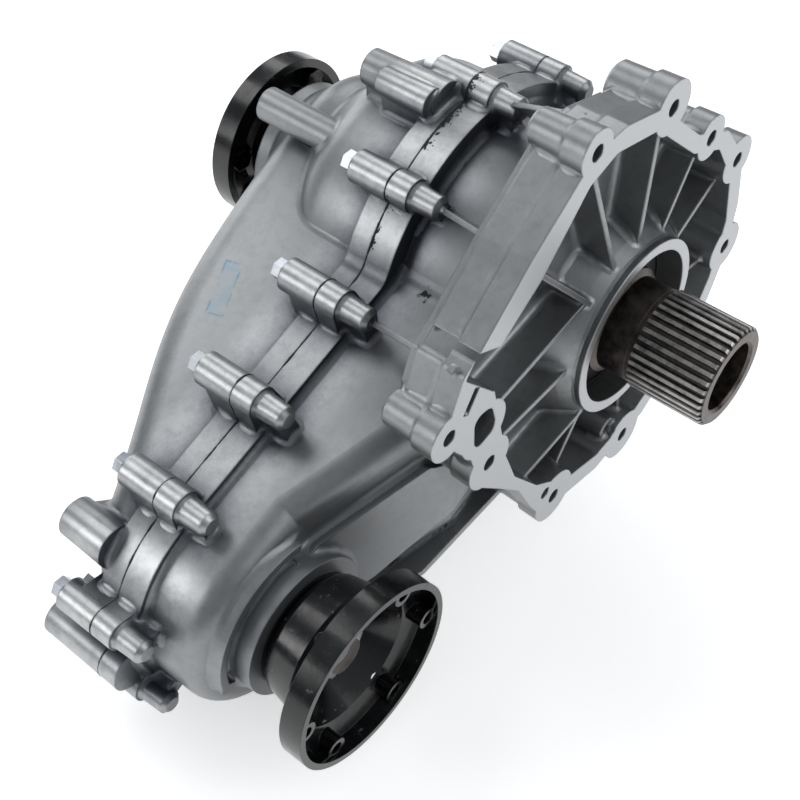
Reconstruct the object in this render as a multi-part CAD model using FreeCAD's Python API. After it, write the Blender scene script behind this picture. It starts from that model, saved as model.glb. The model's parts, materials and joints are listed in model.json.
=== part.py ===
"""Transfer case of a four-wheel-drive vehicle, modelled piece by piece in millimetres.

Origin: centre of the input ring on its machined front face. -Y points forward (towards the
gearbox), +X to the right seen from the front, +Z up. All shafts are parallel to Y.
"""
import FreeCAD, Part
import math
import os
from FreeCAD import Vector

os.makedirs("parts", exist_ok=True)

# Chain drive, which sets the distance between the two shaft axes
CHAIN_PITCH = 9.525
SPROCKET_TEETH = 29
CHAIN_LINKS = 76
CENTRE_DISTANCE = (CHAIN_LINKS - SPROCKET_TEETH) * CHAIN_PITCH / 2
AXIS_DROP_DEG = 18.9
CHAIN_FRONT_Y = 79.0
CHAIN_WIDTH = 20.0
CHAIN_THICK = 5.4
CHAIN_GAP = 0.35

# Running clearances
RUN_FIT = 0.05
RUN_GAP = 0.6
OVERLAP = 1.0

# Case halves
PARTING_Y = 110.0
FRONT_FLANGE = 15.0
REAR_FLANGE = 12.0
BOLT_SEAT = 24.0
LOBE_R = 95.0
WAIST_R = 63.0
BLEND_R = 14.0
FLANGE_STEP = 5.0
CASE_WALL = 5.5
DRUM_A_R = 84.0
SHOULDER_R = 13.0
FACE_B_Y = 57.0
FACE_A_Y = 35.0
FACE_BREAK_S = 192.0
FACE_END_S = 128.0
DRUM_START_Y = 20.0

# Plateau and ridge that stand proud of the front wall, as (along A to B, across) outline
PLATEAU = [(206, 40), (203, 31), (130, 31), (112, 8), (108, -20), (178, -36), (206, -36)]
PLATEAU_PROUD = 7.0
PLATEAU_CORNER_R = 3.0
RIDGE_IN_R = 43.0
RIDGE_OUT_R = 51.5
RIDGE_Y = 52.0
RIDGE_DEG = (8.0, 122.0)
RIDGE_SLOPE = 2.0
RIDGE_ARM_DEG = -14.0
RIDGE_FOOT = 4.0
RAIL = [(93, 27), (158, 34), (192, 50), (192, 72), (93, 72)]
RAIL_T = (-61.5, -57.0)

# Bell that bolts to the gearbox
BELL_RIM = 12.0
BELL_STEP_Y = 27.0
BELL_DRAFT = 1.5
BELL_FOOT_DRAFT = 5.0
LOBE_DRAFT = 0.4
LOBE_STEP = 2.2
LOBE_FOOT = 2.8
LOBE_ROUND = 1.7
BELL_FLOOR_Y = 26.0
BELL_FLOOR = 6.0
RIB_CREST_Y = 7.0
RIB_THICK = 2.8
BELL_HOLE_R = 4.25
BELL_OUTER = [(-62, 149), (-38, 150), (-8, 142), (32, 104), (64, 88), (88, 58), (95, 22), (93, -14),
              (82, -40), (58, -64), (26, -88), (-20, -96), (-50, -90), (-72, -88), (-84, -68),
              (-97, -42), (-116, -22), (-130, -8), (-140, 22), (-158, 46), (-156, 64),
              (-148, 83), (-137, 90), (-104, 118)]
BELL_INNER = [(-64, 133), (-44, 139), (-10, 131), (30, 94), (58, 80), (78, 50), (85, 16), (79, -20),
              (67, -44), (46, -62), (16, -78), (-20, -84), (-48, -77), (-80, -54),
              (-102, -26), (-112, 0), (-118, 26), (-125, 56), (-126, 80), (-95, 101)]
BELL_CORNER_R = 7.0
BELL_BOLTS = [(1, 137, 14.0), (-61, 149, 11.5), (46, 94, 12.0), (82, 59, 13.5),
              (90, -6, 14.5), (6, -90, 15.5), (-62, -80, 16.0), (-125, 6, 15.0), (-157, 52, 12.5)]
DOWEL_HOLE = (-71, -69)
DOWEL_HOLE_R = 3.6
DOWEL_HOLE_DEPTH = 14.0
DRAIN_BOSS = (-131, 35)
DRAIN_BOSS_R = 16.0
DRAIN_HOLE = [(-139, 48), (-126, 47), (-121, 29), (-138, 24)]
DRAIN_CORNER_R = 6.5
NOTCH = [(-139, 90), (-147, 80), (-124, 54), (-118, 80)]
NOTCH_CORNER_R = 1.5
KEY_SLOT = [(-138, 69), (-146, 57)]
KEY_SLOT_R = 2.2
KEY_SLOT_DEPTH = 8.0

# Input hub inside the bell
RING_R = 50.0
RING_BORE_R = 44.0
RING_STEP_Y = 4.0
HUB_BASE_R = 62.0
HUB_BACK_R = 55.0
HUB_LAND = 6.0
RIB_ENDS = [((-49, 125), (-19, 50)), ((5, 117), (2, 52)), ((46, 80), (26, 46)), ((76, 46), (44, 28)),
            ((86, -12), (52, -7)), ((-87, 95), (-37, 39)), ((-112, 30), (-42, 43)),
            ((-107, 2), (-52, 4)), ((-84, -52), (-31, -43)), ((-56, -75), (-33, -41)),
            ((11, -88), (5, -52))]
PAD_HOLE = (-6, -77)
PAD_R = 6.5
PAD_FRONT_Y = 4.0
PAD_HOLE_DEPTH = 14.0

# Webs between case bosses and the bell: boss number, y on the boss, and (x, y, z) at the bell
GUSSETS = [(1, 92, (-42, 20, 148)), (0, 84, (-103, 4, 115)), (12, 81, (-150, 4, 86))]

# Input shaft
SPLINE_R = 27.8
SPLINE_TEETH = 36
SPLINE_DEPTH = 1.7
SPLINE_LAND = 0.42
SPLINE_SPACE = 0.62
SPLINE_TIP_Y = -56.5
SPLINE_END_Y = -13.0
JOURNAL_R = 26.4
JOURNAL_END_Y = 6.0
COLLAR_R = 30.0
SHAFT_BORE_R = 19.0
SHAFT_BORE_DEPTH = 68.0
SHAFT_CHAMFER = 1.5
QUILL_R = 18.0
QUILL_SHOULDER = 6.0
QUILL_SHOULDER_LONG = 19.0
QUILL_TAIL_R = 11.0
QUILL_TAIL_LONG = 18.0
TAIL_BUSH_WALL = 2.5

# Bearings and seals: bore radius, outer radius, width
INPUT_BEARING = (30.0, 47.5, 18.0)
INPUT_BEARING_Y = 28.0
FRONT_BEARING = (17.5, 36.0, 17.0)
FRONT_BEARING_Y = 54.0
PILOT_BEARING = (12.5, 26.0, 15.0)
REAR_BEARING = (20.0, 40.0, 18.0)
REAR_BEARING_Y = 199.0
RACE_SHARE = 0.3
CAGE_SET_BACK = 1.5
SNAP_RING = 2.4
SNAP_RING_REACH = 3.5
SNAP_RING_PLAY = 0.1
SNAP_RING_GAP = 8.0
GROOVE_DEPTH = 1.5
SEAL_WIDTH = 8.0
SEAL_WALL = 2.0
SEAL_FACE = 3.0
SEAT_STEP = 3.0
INPUT_SEAL_Y = 14.0

# Front output on axis B
NOSE_R = 39.5
NOSE_Y = 43.0
NOSE_DRAFT = 1.0
NOSE_FOOT = 4.0
CUP_R = 52.3
CUP_FRONT_Y = -1.6
CUP_RIM = 13.2
CUP_WALL = 3.6
CUP_HUB_R = 33.0
CUP_HUB_BACK_Y = 40.0
CUP_SLEEVE_R = 22.5
CUP_BOLTS = 6
CUP_BOLT_PCD = 89.0
CUP_BOLT_R = 3.4
CUP_LUG_R = 6.0
CUP_LUG_SET_BACK = 3.0
CUP_RELIEF_R = 5.0
CUP_NECK_R = 37.0
CUP_NECK_TAPER = 3.0
CUP_STEP = 4.0

# Rear cover
BACK_LINE = [(290, 124), (236, 147), (201, 164), (168, 181), (131, 196), (80, 207), (21, 214), (-60, 217)]
SCOOP_R = 58.0
SCOOP_ROUND = 19.0
DOME_R = 86.0
DOME_EDGE_Y = 163.0
DOME_ROUND = 26.0
NECK_R = 54.0
NECK_START_Y = 193.0
TAIL_R = 40.5
TAIL_START_Y = 222.0
TAIL_END_Y = 233.0

# Rear flange on axis A
REAR_FLANGE_R = 50.0
REAR_FACE_Y = 257.0
REAR_RIM_LONG = 12.5
REAR_DISC = 7.0
REAR_SLEEVE_R = 28.0
REAR_BOLTS = 6
REAR_BOLT_PCD = 76.0
REAR_BOLT_R = 5.0

# Planetary differential
MODULE = 2.0
SUN_TEETH = 24
PLANET_TEETH = 18
PLANETS = 3
RING_TEETH = SUN_TEETH + 2 * PLANET_TEETH
PRESSURE_DEG = 20.0
BACKLASH = 0.24
DEDENDUM = 1.25 * MODULE
FLANK_STEPS = 3
RING_FLANK_STEPS = 2
GEAR_Y = 114.0
GEAR_WIDTH = 18.0
PIN_R = 6.0
CARRIER_PLATE = 6.0
CARRIER_R = 54.0
CARRIER_HUB = 8.0
CARRIER_HUB_LONG = 7.0
CARRIER_WEB_DEG = 24.0
CARRIER_WEB_TAPER = 0.7
CARRIER_WEB_CLEAR = 3.0
DRUM_GEAR_R = 68.0
DRUM_WEB = 6.0
DRUM_WALL = 4.0
DRUM_BEHIND_HUB = 10.0

# Bolts that close the case: place as (along A to B, across), all lobes round the parting line
BOLT_R = 3.0
BOLT_HEAD_AF = 10.0
BOLT_WASHER_R = 7.0
BOLT_WASHER = 1.5
BOLT_HEAD = 6.0
BOLT_TIP_ROOM = 4.0
BOLT_HOLE_PLAY = 0.3
HEAD_ROOM = 1.0
BOSS_R = 9.0
BOSS_FRONT = 30.0
BOSS_COLLAR = 13.0
NUB_R = 6.5
NUB_ROOT_R = 7.2
NUB_CHAMFER = 2.4
NUB_WEB = 4.0
LUG_LONG = 22.0
LUG_SPREAD = 1.25
LUG_SET_BACK = 5.0
BOSS_A_R = 96.5
BOSS_B_R = 70.0
BOSS_A_DEG = [69.5, 110, 148, 186, 224, 262, 290.5]
BOSS_B_DEG = [94, 35, -12, -50, -94]
BOSS_WAIST = [(96, 75), (159, 77), (96, -75), (159, -77)]
BEAD_R = 0.7
BEAD_GAP = 0.02

# Bosses without a bolt on the rear cover: (along, across, front radius, back radius, front y, back y)
COVER_BOSSES = [(-17, 94, 11.5, 9.8, 116, 165), (-10, 100, 8.2, 7.2, 118, 150),
                (251, 54, 12.0, 11.0, 122, 151), (291, 8, 12.2, 11.4, 98, 150)]
PIPE_BOSS = (-37.8, 59.1, 9.5, 165, 219)
WEB_SHARE = 0.8
WEB_SET_BACK = 2.0

# Small parts
DOWEL_R = 3.0
DOWEL_HALF = 7.0
DOWEL_INSET = 5.0
DOWEL_DEG = (129.0, 243.0)
WASHER = 1.0
THREAD_R = 10.0
REAR_THREAD_R = 12.0
THREAD_PROUD = 3.0
NUT_AF = 27.0
NUT_COLLAR = 3.0
NUT_COLLAR_LONG = 2.0
REAR_NUT_AF = 36.0
REAR_NUT_LONG = 7.0
REAR_NUT_SINK = 8.0
CUP_BORE_R = 14.0
CUP_WEB_Y = 28.0
CUP_BOLT_DEG = 24.0
NUT_FRONT_Y = 19.0
SLEEVE_R = 25.5
SLEEVE_BORE_R = 19.5
SLEEVE_BUSH_LONG = 12.0
SPROCKET_SEAT_R = 20.0
SPROCKET_DEPTH = 4.0
SPROCKET_LAND = 0.32
SPROCKET_SPACE = 0.7
SPROCKET_HUB = 7.0
SPROCKET_RIM = 5.0
SPROCKET_DISH = 5.0
SHOULDER = 5.0
PILOT_SHOULDER = 4.0
PILOT_WALL = 5.0
REAR_NECK_R = 24.0
REAR_SHOULDER = 4.0
REAR_BORE_R = 18.0
REAR_RIM = 5.0
REAR_FILLET = 3.0
REAR_BOLT_HEAD = 5.0
REAR_BOLT_AF_SHARE = 2.4

TILT = math.radians(AXIS_DROP_DEG)
AXIS_B = (-CENTRE_DISTANCE * math.cos(TILT), -CENTRE_DISTANCE * math.sin(TILT))
SPROCKET_R = CHAIN_PITCH / (2 * math.sin(math.pi / SPROCKET_TEETH))
CHAIN_END_Y = CHAIN_FRONT_Y + CHAIN_WIDTH
FLANGE_FRONT_Y = PARTING_Y - FRONT_FLANGE
FLANGE_BACK_Y = PARTING_Y + REAR_FLANGE
SEAT_Y = PARTING_Y + BOLT_SEAT
BOLT_TIP_Y = PARTING_Y - BOSS_FRONT + 10
Y_AXIS = Vector(0, 1, 0)
CHAIN_INNER_R = SPROCKET_R
SPROCKET_TIP_R = CHAIN_INNER_R - CHAIN_GAP
BELL_BACK_Y = BELL_FLOOR_Y + BELL_FLOOR
HUB_END_Y = INPUT_BEARING_Y + INPUT_BEARING[2] + HUB_LAND
BEARING_BACK_Y = INPUT_BEARING_Y + INPUT_BEARING[2]
FRONT_BEARING_BACK_Y = FRONT_BEARING_Y + FRONT_BEARING[2]
REAR_BEARING_BACK_Y = REAR_BEARING_Y + REAR_BEARING[2]
FRONT_SEAL_R = CUP_SLEEVE_R + SEAL_WIDTH + 1
REAR_SEAL_R = REAR_SLEEVE_R + SEAL_WIDTH
PILOT_Y = PARTING_Y + 3
WASHER_Y = BEARING_BACK_Y + QUILL_SHOULDER_LONG
SLEEVE_START_Y = WASHER_Y + WASHER + RUN_GAP
PLANET_ORBIT_R = (SUN_TEETH + PLANET_TEETH) * MODULE / 2
CARRIER_FRONT_Y = GEAR_Y - RUN_GAP - CARRIER_PLATE
CARRIER_BACK_Y = GEAR_Y + GEAR_WIDTH + RUN_GAP
CARRIER_HUB_END_Y = CARRIER_BACK_Y + CARRIER_PLATE + CARRIER_HUB_LONG
QUILL_TAIL_END_Y = CARRIER_HUB_END_Y + QUILL_TAIL_LONG
DRUM_END_Y = CARRIER_HUB_END_Y + DRUM_BEHIND_HUB
REAR_NECK_Y = CARRIER_HUB_END_Y + 2
REAR_NUT_Y = REAR_FACE_Y - REAR_NUT_SINK
TAIL_BUSH_R = QUILL_TAIL_R + TAIL_BUSH_WALL


def at(s, t, y):
    """Point at s along the line from axis A to axis B and t above it."""
    return Vector(-s * math.cos(TILT) - t * math.sin(TILT), y, -s * math.sin(TILT) + t * math.cos(TILT))


def on_circle(centre, radius, deg, y):
    return Vector(centre[0] + radius * math.cos(math.radians(deg)), y,
                  centre[1] + radius * math.sin(math.radians(deg)))


def polar(s, radius, deg, y=0.0):
    """Point on a circle about a point of the A-B line, with the angle counted from A towards B."""
    return at(s + radius * math.cos(math.radians(deg)), radius * math.sin(math.radians(deg)), y)


def rod(x, z, radius, start, end):
    return Part.makeCylinder(radius, end - start, Vector(x, start, z), Y_AXIS)


def rod_at(point, radius, start, end):
    return rod(point.x, point.z, radius, start, end)


def extrude(wire, length):
    return Part.Face(wire).extrude(Vector(0, length, 0))


def turned(profile, centre=(0.0, 0.0)):
    """Solid of revolution from (radius, y) points about an axis parallel to Y."""
    corners = [Vector(centre[0] + r, y, centre[1]) for r, y in profile]
    face = Part.Face(Part.makePolygon(corners + [corners[0]]))
    return face.revolve(Vector(centre[0], 0, centre[1]), Y_AXIS, 360)


def fuse(first, *others):
    return first.fuse(list(others)).removeSplitter()


def cut(first, *others):
    return first.cut(list(others))


def rounded_wire(corners, radii):
    """Closed wire through the corners, each one rounded by a tangent arc of its own radius."""
    edges = []
    ends = []
    count = len(corners)
    for i in range(count):
        here = corners[i]
        back = corners[i - 1] - here
        ahead = corners[(i + 1) % count] - here
        half = back.getAngle(ahead) / 2
        reach = min(radii[i] / math.tan(half), 0.45 * back.Length, 0.45 * ahead.Length)
        start = here + Vector(back).normalize() * reach
        end = here + Vector(ahead).normalize() * reach
        bow = reach * math.tan(half)
        inward = (Vector(back).normalize() + Vector(ahead).normalize()).normalize()
        centre = here + inward * math.hypot(reach, bow)
        ends.append((start, centre - inward * bow, end))
    for i in range(count):
        start, crown, end = ends[i]
        if (end - start).Length > 0.001:
            edges.append(Part.Arc(start, crown, end).toShape())
        edges.append(Part.LineSegment(end, ends[(i + 1) % count][0]).toShape())
    return Part.Wire(edges)


def rounded_loop(points, radius, y):
    """Closed outline at depth y through (x, z) points with every corner rounded."""
    return rounded_wire([Vector(x, y, z) for x, z in points], [radius] * len(points))


def case_loop(lobe, waist, blend, y):
    """Outline of the chain case: a big lobe at A, a parallel waist and a round end at B."""
    reach = math.sqrt((lobe + blend) ** 2 - (waist + blend) ** 2)
    share = lobe / (lobe + blend)
    touch = (reach * share, (waist + blend) * share)
    rise = math.atan2(waist + blend, reach)
    half_turn = (math.pi + rise + 1.5 * math.pi) / 2
    bow = (reach + blend * math.cos(half_turn), waist + blend + blend * math.sin(half_turn))
    edges = [Part.Arc(at(touch[0], touch[1], y), at(-lobe, 0, y), at(touch[0], -touch[1], y)).toShape(),
             Part.Arc(at(touch[0], -touch[1], y), at(bow[0], -bow[1], y), at(reach, -waist, y)).toShape(),
             Part.LineSegment(at(reach, -waist, y), at(CENTRE_DISTANCE, -waist, y)).toShape(),
             Part.Arc(at(CENTRE_DISTANCE, -waist, y), at(CENTRE_DISTANCE + waist, 0, y),
                      at(CENTRE_DISTANCE, waist, y)).toShape(),
             Part.LineSegment(at(CENTRE_DISTANCE, waist, y), at(reach, waist, y)).toShape(),
             Part.Arc(at(reach, waist, y), at(bow[0], bow[1], y), at(touch[0], touch[1], y)).toShape()]
    return Part.Wire(edges)


def slot_loop(radius, y):
    """Outline with both ends of the same radius, one on each axis."""
    edges = [Part.Arc(at(0, radius, y), at(-radius, 0, y), at(0, -radius, y)).toShape(),
             Part.LineSegment(at(0, -radius, y), at(CENTRE_DISTANCE, -radius, y)).toShape(),
             Part.Arc(at(CENTRE_DISTANCE, -radius, y), at(CENTRE_DISTANCE + radius, 0, y),
                      at(CENTRE_DISTANCE, radius, y)).toShape(),
             Part.LineSegment(at(CENTRE_DISTANCE, radius, y), at(0, radius, y)).toShape()]
    return Part.Wire(edges)


def side_prism(points, low=-150.0, high=150.0):
    """Prism across the case from a closed (s, y) outline."""
    corners = [at(s, low, y) for s, y in points]
    face = Part.Face(Part.makePolygon(corners + [corners[0]]))
    return face.extrude(at(0, high, 0) - at(0, low, 0))


def boss_places():
    places = [polar(0, BOSS_A_R, deg) for deg in BOSS_A_DEG]
    places += [polar(CENTRE_DISTANCE, BOSS_B_R, deg) for deg in BOSS_B_DEG]
    places += [at(s, t, 0) for s, t in BOSS_WAIST]
    return places


# Castings

def front_face_cut(inset):
    """Everything in front of the sloping front wall of the chain case."""
    return side_prism([(-200, -20), (400, -20), (400, FACE_B_Y + inset), (FACE_BREAK_S, FACE_B_Y + inset),
                       (FACE_END_S, FACE_A_Y + inset), (-200, FACE_A_Y + inset)])


def chain_drum(lobe, waist, inset, end_y, rounding):
    """Body of the chain case from its sloping front wall back to end_y, with a round shoulder."""
    drum = extrude(case_loop(lobe, waist, BLEND_R, DRUM_START_Y), end_y - DRUM_START_Y)
    drum = drum.cut(front_face_cut(inset))
    limit = FACE_B_Y + inset + 0.5
    front = [e for e in drum.Edges if e.BoundBox.YMax < limit and not is_along_y(e) and not is_crease(e)]
    return drum.makeFillet(rounding, front)


def is_along_y(edge):
    box = edge.BoundBox
    return box.YLength > 0.01 and box.XLength < 0.01 and box.ZLength < 0.01


def is_crease(edge):
    """The two straight folds that run across the sloping front wall."""
    ends = [v.Point for v in edge.Vertexes]
    if len(ends) < 2:
        return False
    run = ends[1] - ends[0]
    across = at(0, 1, 0)
    return run.Length > 60 and abs(run.normalize().dot(across)) > 0.99


def bell():
    """Bell wall with its two outer bands, bolt lobes and flat floor, still without its cavity."""
    outer = Part.Face(rounded_loop(BELL_OUTER, BELL_CORNER_R, 0))
    body = outer.extrude(Vector(0, BELL_RIM, 0))
    body = body.fuse(outer.makeOffset2D(-BELL_DRAFT).extrude(Vector(0, BELL_STEP_Y, 0)))
    body = body.fuse(outer.makeOffset2D(-BELL_FOOT_DRAFT).extrude(Vector(0, BELL_BACK_Y, 0)))
    for x, z, radius in BELL_BOLTS:
        body = body.fuse(bell_lobe(x, z, radius))
    x, z = DRAIN_BOSS
    return body.fuse(rod(x, z, DRAIN_BOSS_R, 0, BELL_STEP_Y))


def bell_lobe(x, z, radius):
    """Bolt lobe of the bell, stepped behind its rim and rounded at the back."""
    return turned([(0, 0), (radius, 0), (radius - LOBE_DRAFT, BELL_RIM), (radius - LOBE_STEP, BELL_RIM + 1),
                   (radius - LOBE_FOOT, BELL_BACK_Y - LOBE_ROUND), (radius - LOBE_FOOT - LOBE_ROUND, BELL_BACK_Y),
                   (0, BELL_BACK_Y)], (x, z))


def bell_cavity():
    """Open space of the bell: inside the wall, round the lobes and the input hub."""
    space = extrude(rounded_loop(BELL_INNER, BELL_CORNER_R, -5), BELL_FLOOR_Y + 5)
    space = space.fuse(extrude(rounded_loop(NOTCH, NOTCH_CORNER_R, -5), BELL_FLOOR_Y + 5))
    for x, z, radius in BELL_BOLTS:
        space = space.cut(rod(x, z, radius, -6, BELL_FLOOR_Y + 1))
    x, z = DRAIN_BOSS
    space = space.cut(rod(x, z, DRAIN_BOSS_R, -6, BELL_FLOOR_Y + 1))
    hub = turned([(0, -6), (RING_R, -6), (RING_R, RING_STEP_Y), (RING_R + 4, RIB_CREST_Y + 4),
                  (HUB_BASE_R, BELL_FLOOR_Y + 1), (0, BELL_FLOOR_Y + 1)])
    space = space.cut(hub)
    x, z = PAD_HOLE
    space = space.cut(rod(x, z, PAD_R, PAD_FRONT_Y, BELL_FLOOR_Y + 1))
    for start, end in RIB_ENDS:
        space = space.cut(rib(start, end))
    return space


def rib(start, end):
    """Thin web inside the bell between two (x, z) ends, from its crest down to the floor."""
    a = Vector(start[0], RIB_CREST_Y, start[1])
    b = Vector(end[0], RIB_CREST_Y, end[1])
    side = (b - a).cross(Y_AXIS).normalize() * (RIB_THICK / 2)
    depth = BELL_FLOOR_Y + 1 - RIB_CREST_Y
    corners = [a + side, b + side, b - side, a - side, a + side]
    return Part.Face(Part.makePolygon(corners)).extrude(Vector(0, depth, 0))


def gusset(top, crest):
    """Triangular web from a case boss to the bell wall, below the line from top to crest."""
    low = Vector(top.x, BELL_FLOOR_Y, top.z)
    side = (crest - low).cross(Y_AXIS).normalize() * (RIB_THICK / 2)
    face = Part.Face(Part.makePolygon([top + side, crest + side, low + side, top + side]))
    return face.extrude(side * -2)


def plateau():
    """Slab that stands proud of the sloping front wall beside the nose."""
    corners = [at(s, t, DRUM_START_Y) for s, t in PLATEAU]
    slab = extrude(rounded_wire(corners, [PLATEAU_CORNER_R] * len(corners)), FACE_B_Y)
    return slab.cut(front_face_cut(-PLATEAU_PROUD))


def ridge():
    """Rib round the nose that runs out of the plateau and bends in to the nose at its end."""
    foot = FACE_B_Y + RIDGE_FOOT
    profile = [(RIDGE_IN_R, foot), (RIDGE_IN_R + RIDGE_SLOPE, RIDGE_Y), (RIDGE_OUT_R - RIDGE_SLOPE, RIDGE_Y),
               (RIDGE_OUT_R, foot)]
    corners = [polar(CENTRE_DISTANCE, r, RIDGE_DEG[0], y) for r, y in profile]
    face = Part.Face(Part.makePolygon(corners + [corners[0]]))
    arc = face.revolve(Vector(AXIS_B[0], 0, AXIS_B[1]), Y_AXIS, RIDGE_DEG[1] - RIDGE_DEG[0])
    middle = (RIDGE_IN_R + RIDGE_OUT_R) / 2
    half = (RIDGE_OUT_R - RIDGE_IN_R - RIDGE_SLOPE) / 2
    start = polar(CENTRE_DISTANCE, NOSE_R - RIDGE_FOOT, RIDGE_ARM_DEG, RIDGE_Y)
    run = polar(CENTRE_DISTANCE, middle, RIDGE_DEG[0], RIDGE_Y) - start
    side = Vector(run).normalize().cross(Y_AXIS) * half
    arm = [start + side, start + run + side, start + run - side, start - side, start + side]
    bent = extrude(Part.makePolygon(arm), foot - RIDGE_Y)
    knee = rod_at(start + run, half, RIDGE_Y, foot)
    return arc.fuse([bent, knee])


def nub(place):
    """Front end of a case boss, slimmer than its collar and chamfered at the tip."""
    tip = PARTING_Y - BOSS_FRONT
    root = PARTING_Y - BOSS_COLLAR
    return turned([(0, tip), (NUB_R - NUB_CHAMFER, tip), (NUB_R, tip + NUB_CHAMFER), (NUB_ROOT_R, root + 1),
                   (0, root + 1)], (place.x, place.z))


def front_case():
    bx, bz = AXIS_B
    body = extrude(case_loop(LOBE_R, WAIST_R, BLEND_R, FLANGE_FRONT_Y), FRONT_FLANGE)
    body = body.fuse(chain_drum(DRUM_A_R, WAIST_R - FLANGE_STEP, 0.0, PARTING_Y, SHOULDER_R))
    body = body.fuse(bell())
    hub = turned([(0, 0), (RING_R, 0), (RING_R, RING_STEP_Y), (HUB_BASE_R, BELL_FLOOR_Y),
                  (HUB_BACK_R, HUB_END_Y), (0, HUB_END_Y)])
    nose = turned([(0, NOSE_Y), (NOSE_R, NOSE_Y), (NOSE_R + NOSE_DRAFT, FACE_B_Y - NOSE_FOOT + 1),
                   (NOSE_R + NOSE_FOOT, FACE_B_Y + 1), (NOSE_R + NOSE_FOOT, FRONT_BEARING_BACK_Y),
                   (0, FRONT_BEARING_BACK_Y)], AXIS_B)
    rail = side_prism(RAIL, RAIL_T[0], RAIL_T[1])
    body = body.fuse([hub, nose, plateau(), ridge(), rail])
    for place in boss_places():
        body = body.fuse(nub(place))
    body = body.fuse(bosses(PARTING_Y - BOSS_COLLAR, PARTING_Y, BOSS_R))
    body = body.fuse(bosses(PARTING_Y - BOSS_FRONT + NUB_WEB, PARTING_Y - BOSS_COLLAR, NUB_WEB))
    for number, top_y, crest in GUSSETS:
        place = boss_places()[number]
        body = body.fuse(gusset(Vector(place.x, top_y, place.z), Vector(crest[0], crest[1], crest[2])))
    body = body.fuse(cover_bosses(0, PARTING_Y))
    room = chain_drum(DRUM_A_R - CASE_WALL, WAIST_R - FLANGE_STEP - CASE_WALL, CASE_WALL + 1,
                      PARTING_Y + 1, SHOULDER_R - CASE_WALL)
    room = room.cut(rod(0, 0, HUB_BACK_R, 0, HUB_END_Y + 1))
    room = room.cut(rod(bx, bz, FRONT_BEARING[1] + CASE_WALL + GROOVE_DEPTH, 0,
                        FRONT_BEARING_BACK_Y + SNAP_RING + 1))
    body = body.cut(room)
    body = body.cut(bell_cavity())
    body = body.cut(input_bores())
    body = body.cut(front_output_bores())
    for place in boss_places():
        body = body.cut(rod_at(place, BOLT_R, BOLT_TIP_Y - BOLT_TIP_ROOM, PARTING_Y + 1))
    for x, z, radius in BELL_BOLTS:
        body = body.cut(rod(x, z, BELL_HOLE_R, -1, BELL_BACK_Y + 1))
    body = body.cut(rod(DOWEL_HOLE[0], DOWEL_HOLE[1], DOWEL_HOLE_R, -1, DOWEL_HOLE_DEPTH))
    body = body.cut(rod(PAD_HOLE[0], PAD_HOLE[1], PAD_R / 2, 0, PAD_HOLE_DEPTH))
    body = body.cut(extrude(rounded_loop(DRAIN_HOLE, DRAIN_CORNER_R, -1), BELL_BACK_Y + 6))
    body = body.cut(key_slot())
    for place in dowel_places():
        body = body.cut(rod_at(place, DOWEL_R, PARTING_Y - DOWEL_HALF, PARTING_Y + 1))
    return body.removeSplitter()


def key_slot():
    """Short slot in the rim beside the drain hole."""
    ends = [Vector(x, -1, z) for x, z in KEY_SLOT]
    side = (ends[1] - ends[0]).cross(Y_AXIS).normalize() * KEY_SLOT_R
    corners = [ends[0] + side, ends[1] + side, ends[1] - side, ends[0] - side, ends[0] + side]
    return extrude(Part.makePolygon(corners), KEY_SLOT_DEPTH + 1)


def input_bores():
    bore = rod(0, 0, RING_BORE_R, -1, INPUT_SEAL_Y + SEAL_WIDTH + RUN_GAP)
    throat = rod(0, 0, RING_BORE_R - SEAT_STEP, 0, INPUT_BEARING_Y + 1)
    seat = rod(0, 0, INPUT_BEARING[1], INPUT_BEARING_Y, HUB_END_Y + 1)
    groove = rod(0, 0, INPUT_BEARING[1] + GROOVE_DEPTH, BEARING_BACK_Y, BEARING_BACK_Y + SNAP_RING)
    return bore.fuse([throat, seat, groove])


def front_output_bores():
    bx, bz = AXIS_B
    back = FRONT_BEARING_BACK_Y + SNAP_RING
    mouth = rod(bx, bz, FRONT_SEAL_R, NOSE_Y - 1, NOSE_Y + SEAL_WIDTH + RUN_GAP)
    throat = rod(bx, bz, FRONT_BEARING[1] - SHOULDER, NOSE_Y, FRONT_BEARING_Y + 1)
    seat = rod(bx, bz, FRONT_BEARING[1], FRONT_BEARING_Y, back + CASE_WALL)
    groove = rod(bx, bz, FRONT_BEARING[1] + GROOVE_DEPTH, FRONT_BEARING_BACK_Y, back)
    return mouth.fuse([throat, seat, groove])


def back_profile(inset):
    """Prism across the rear cover under its arched back line."""
    points = [at(s, -150, y - inset) for s, y in BACK_LINE]
    back = Part.BSplineCurve()
    back.interpolate(points)
    near = at(BACK_LINE[0][0], -150, PARTING_Y - 10)
    far = at(BACK_LINE[-1][0], -150, PARTING_Y - 10)
    wire = Part.Wire([Part.LineSegment(near, points[0]).toShape(), back.toShape(),
                      Part.LineSegment(points[-1], far).toShape(), Part.LineSegment(far, near).toShape()])
    return Part.Face(wire).extrude(at(0, 300, 0) - at(0, 0, 0))


def scoop(radius, inset, rounding, start):
    """Arched body of the rear cover that rises from axis B to the tail on axis A."""
    body = extrude(slot_loop(radius, start), 120).common(back_profile(inset))
    back = [e for e in body.Edges if e.BoundBox.YMin > start + 1 and not is_along_y(e)
            and abs(e.BoundBox.Center.x) > 2 * radius * 0.3 and not is_straight_across(e)]
    return body.makeFillet(rounding, back)


def is_straight_across(edge):
    ends = [v.Point for v in edge.Vertexes]
    run = (ends[-1] - ends[0])
    return run.Length > 1 and abs(run.normalize().dot(at(0, 1, 0))) > 0.99


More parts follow.
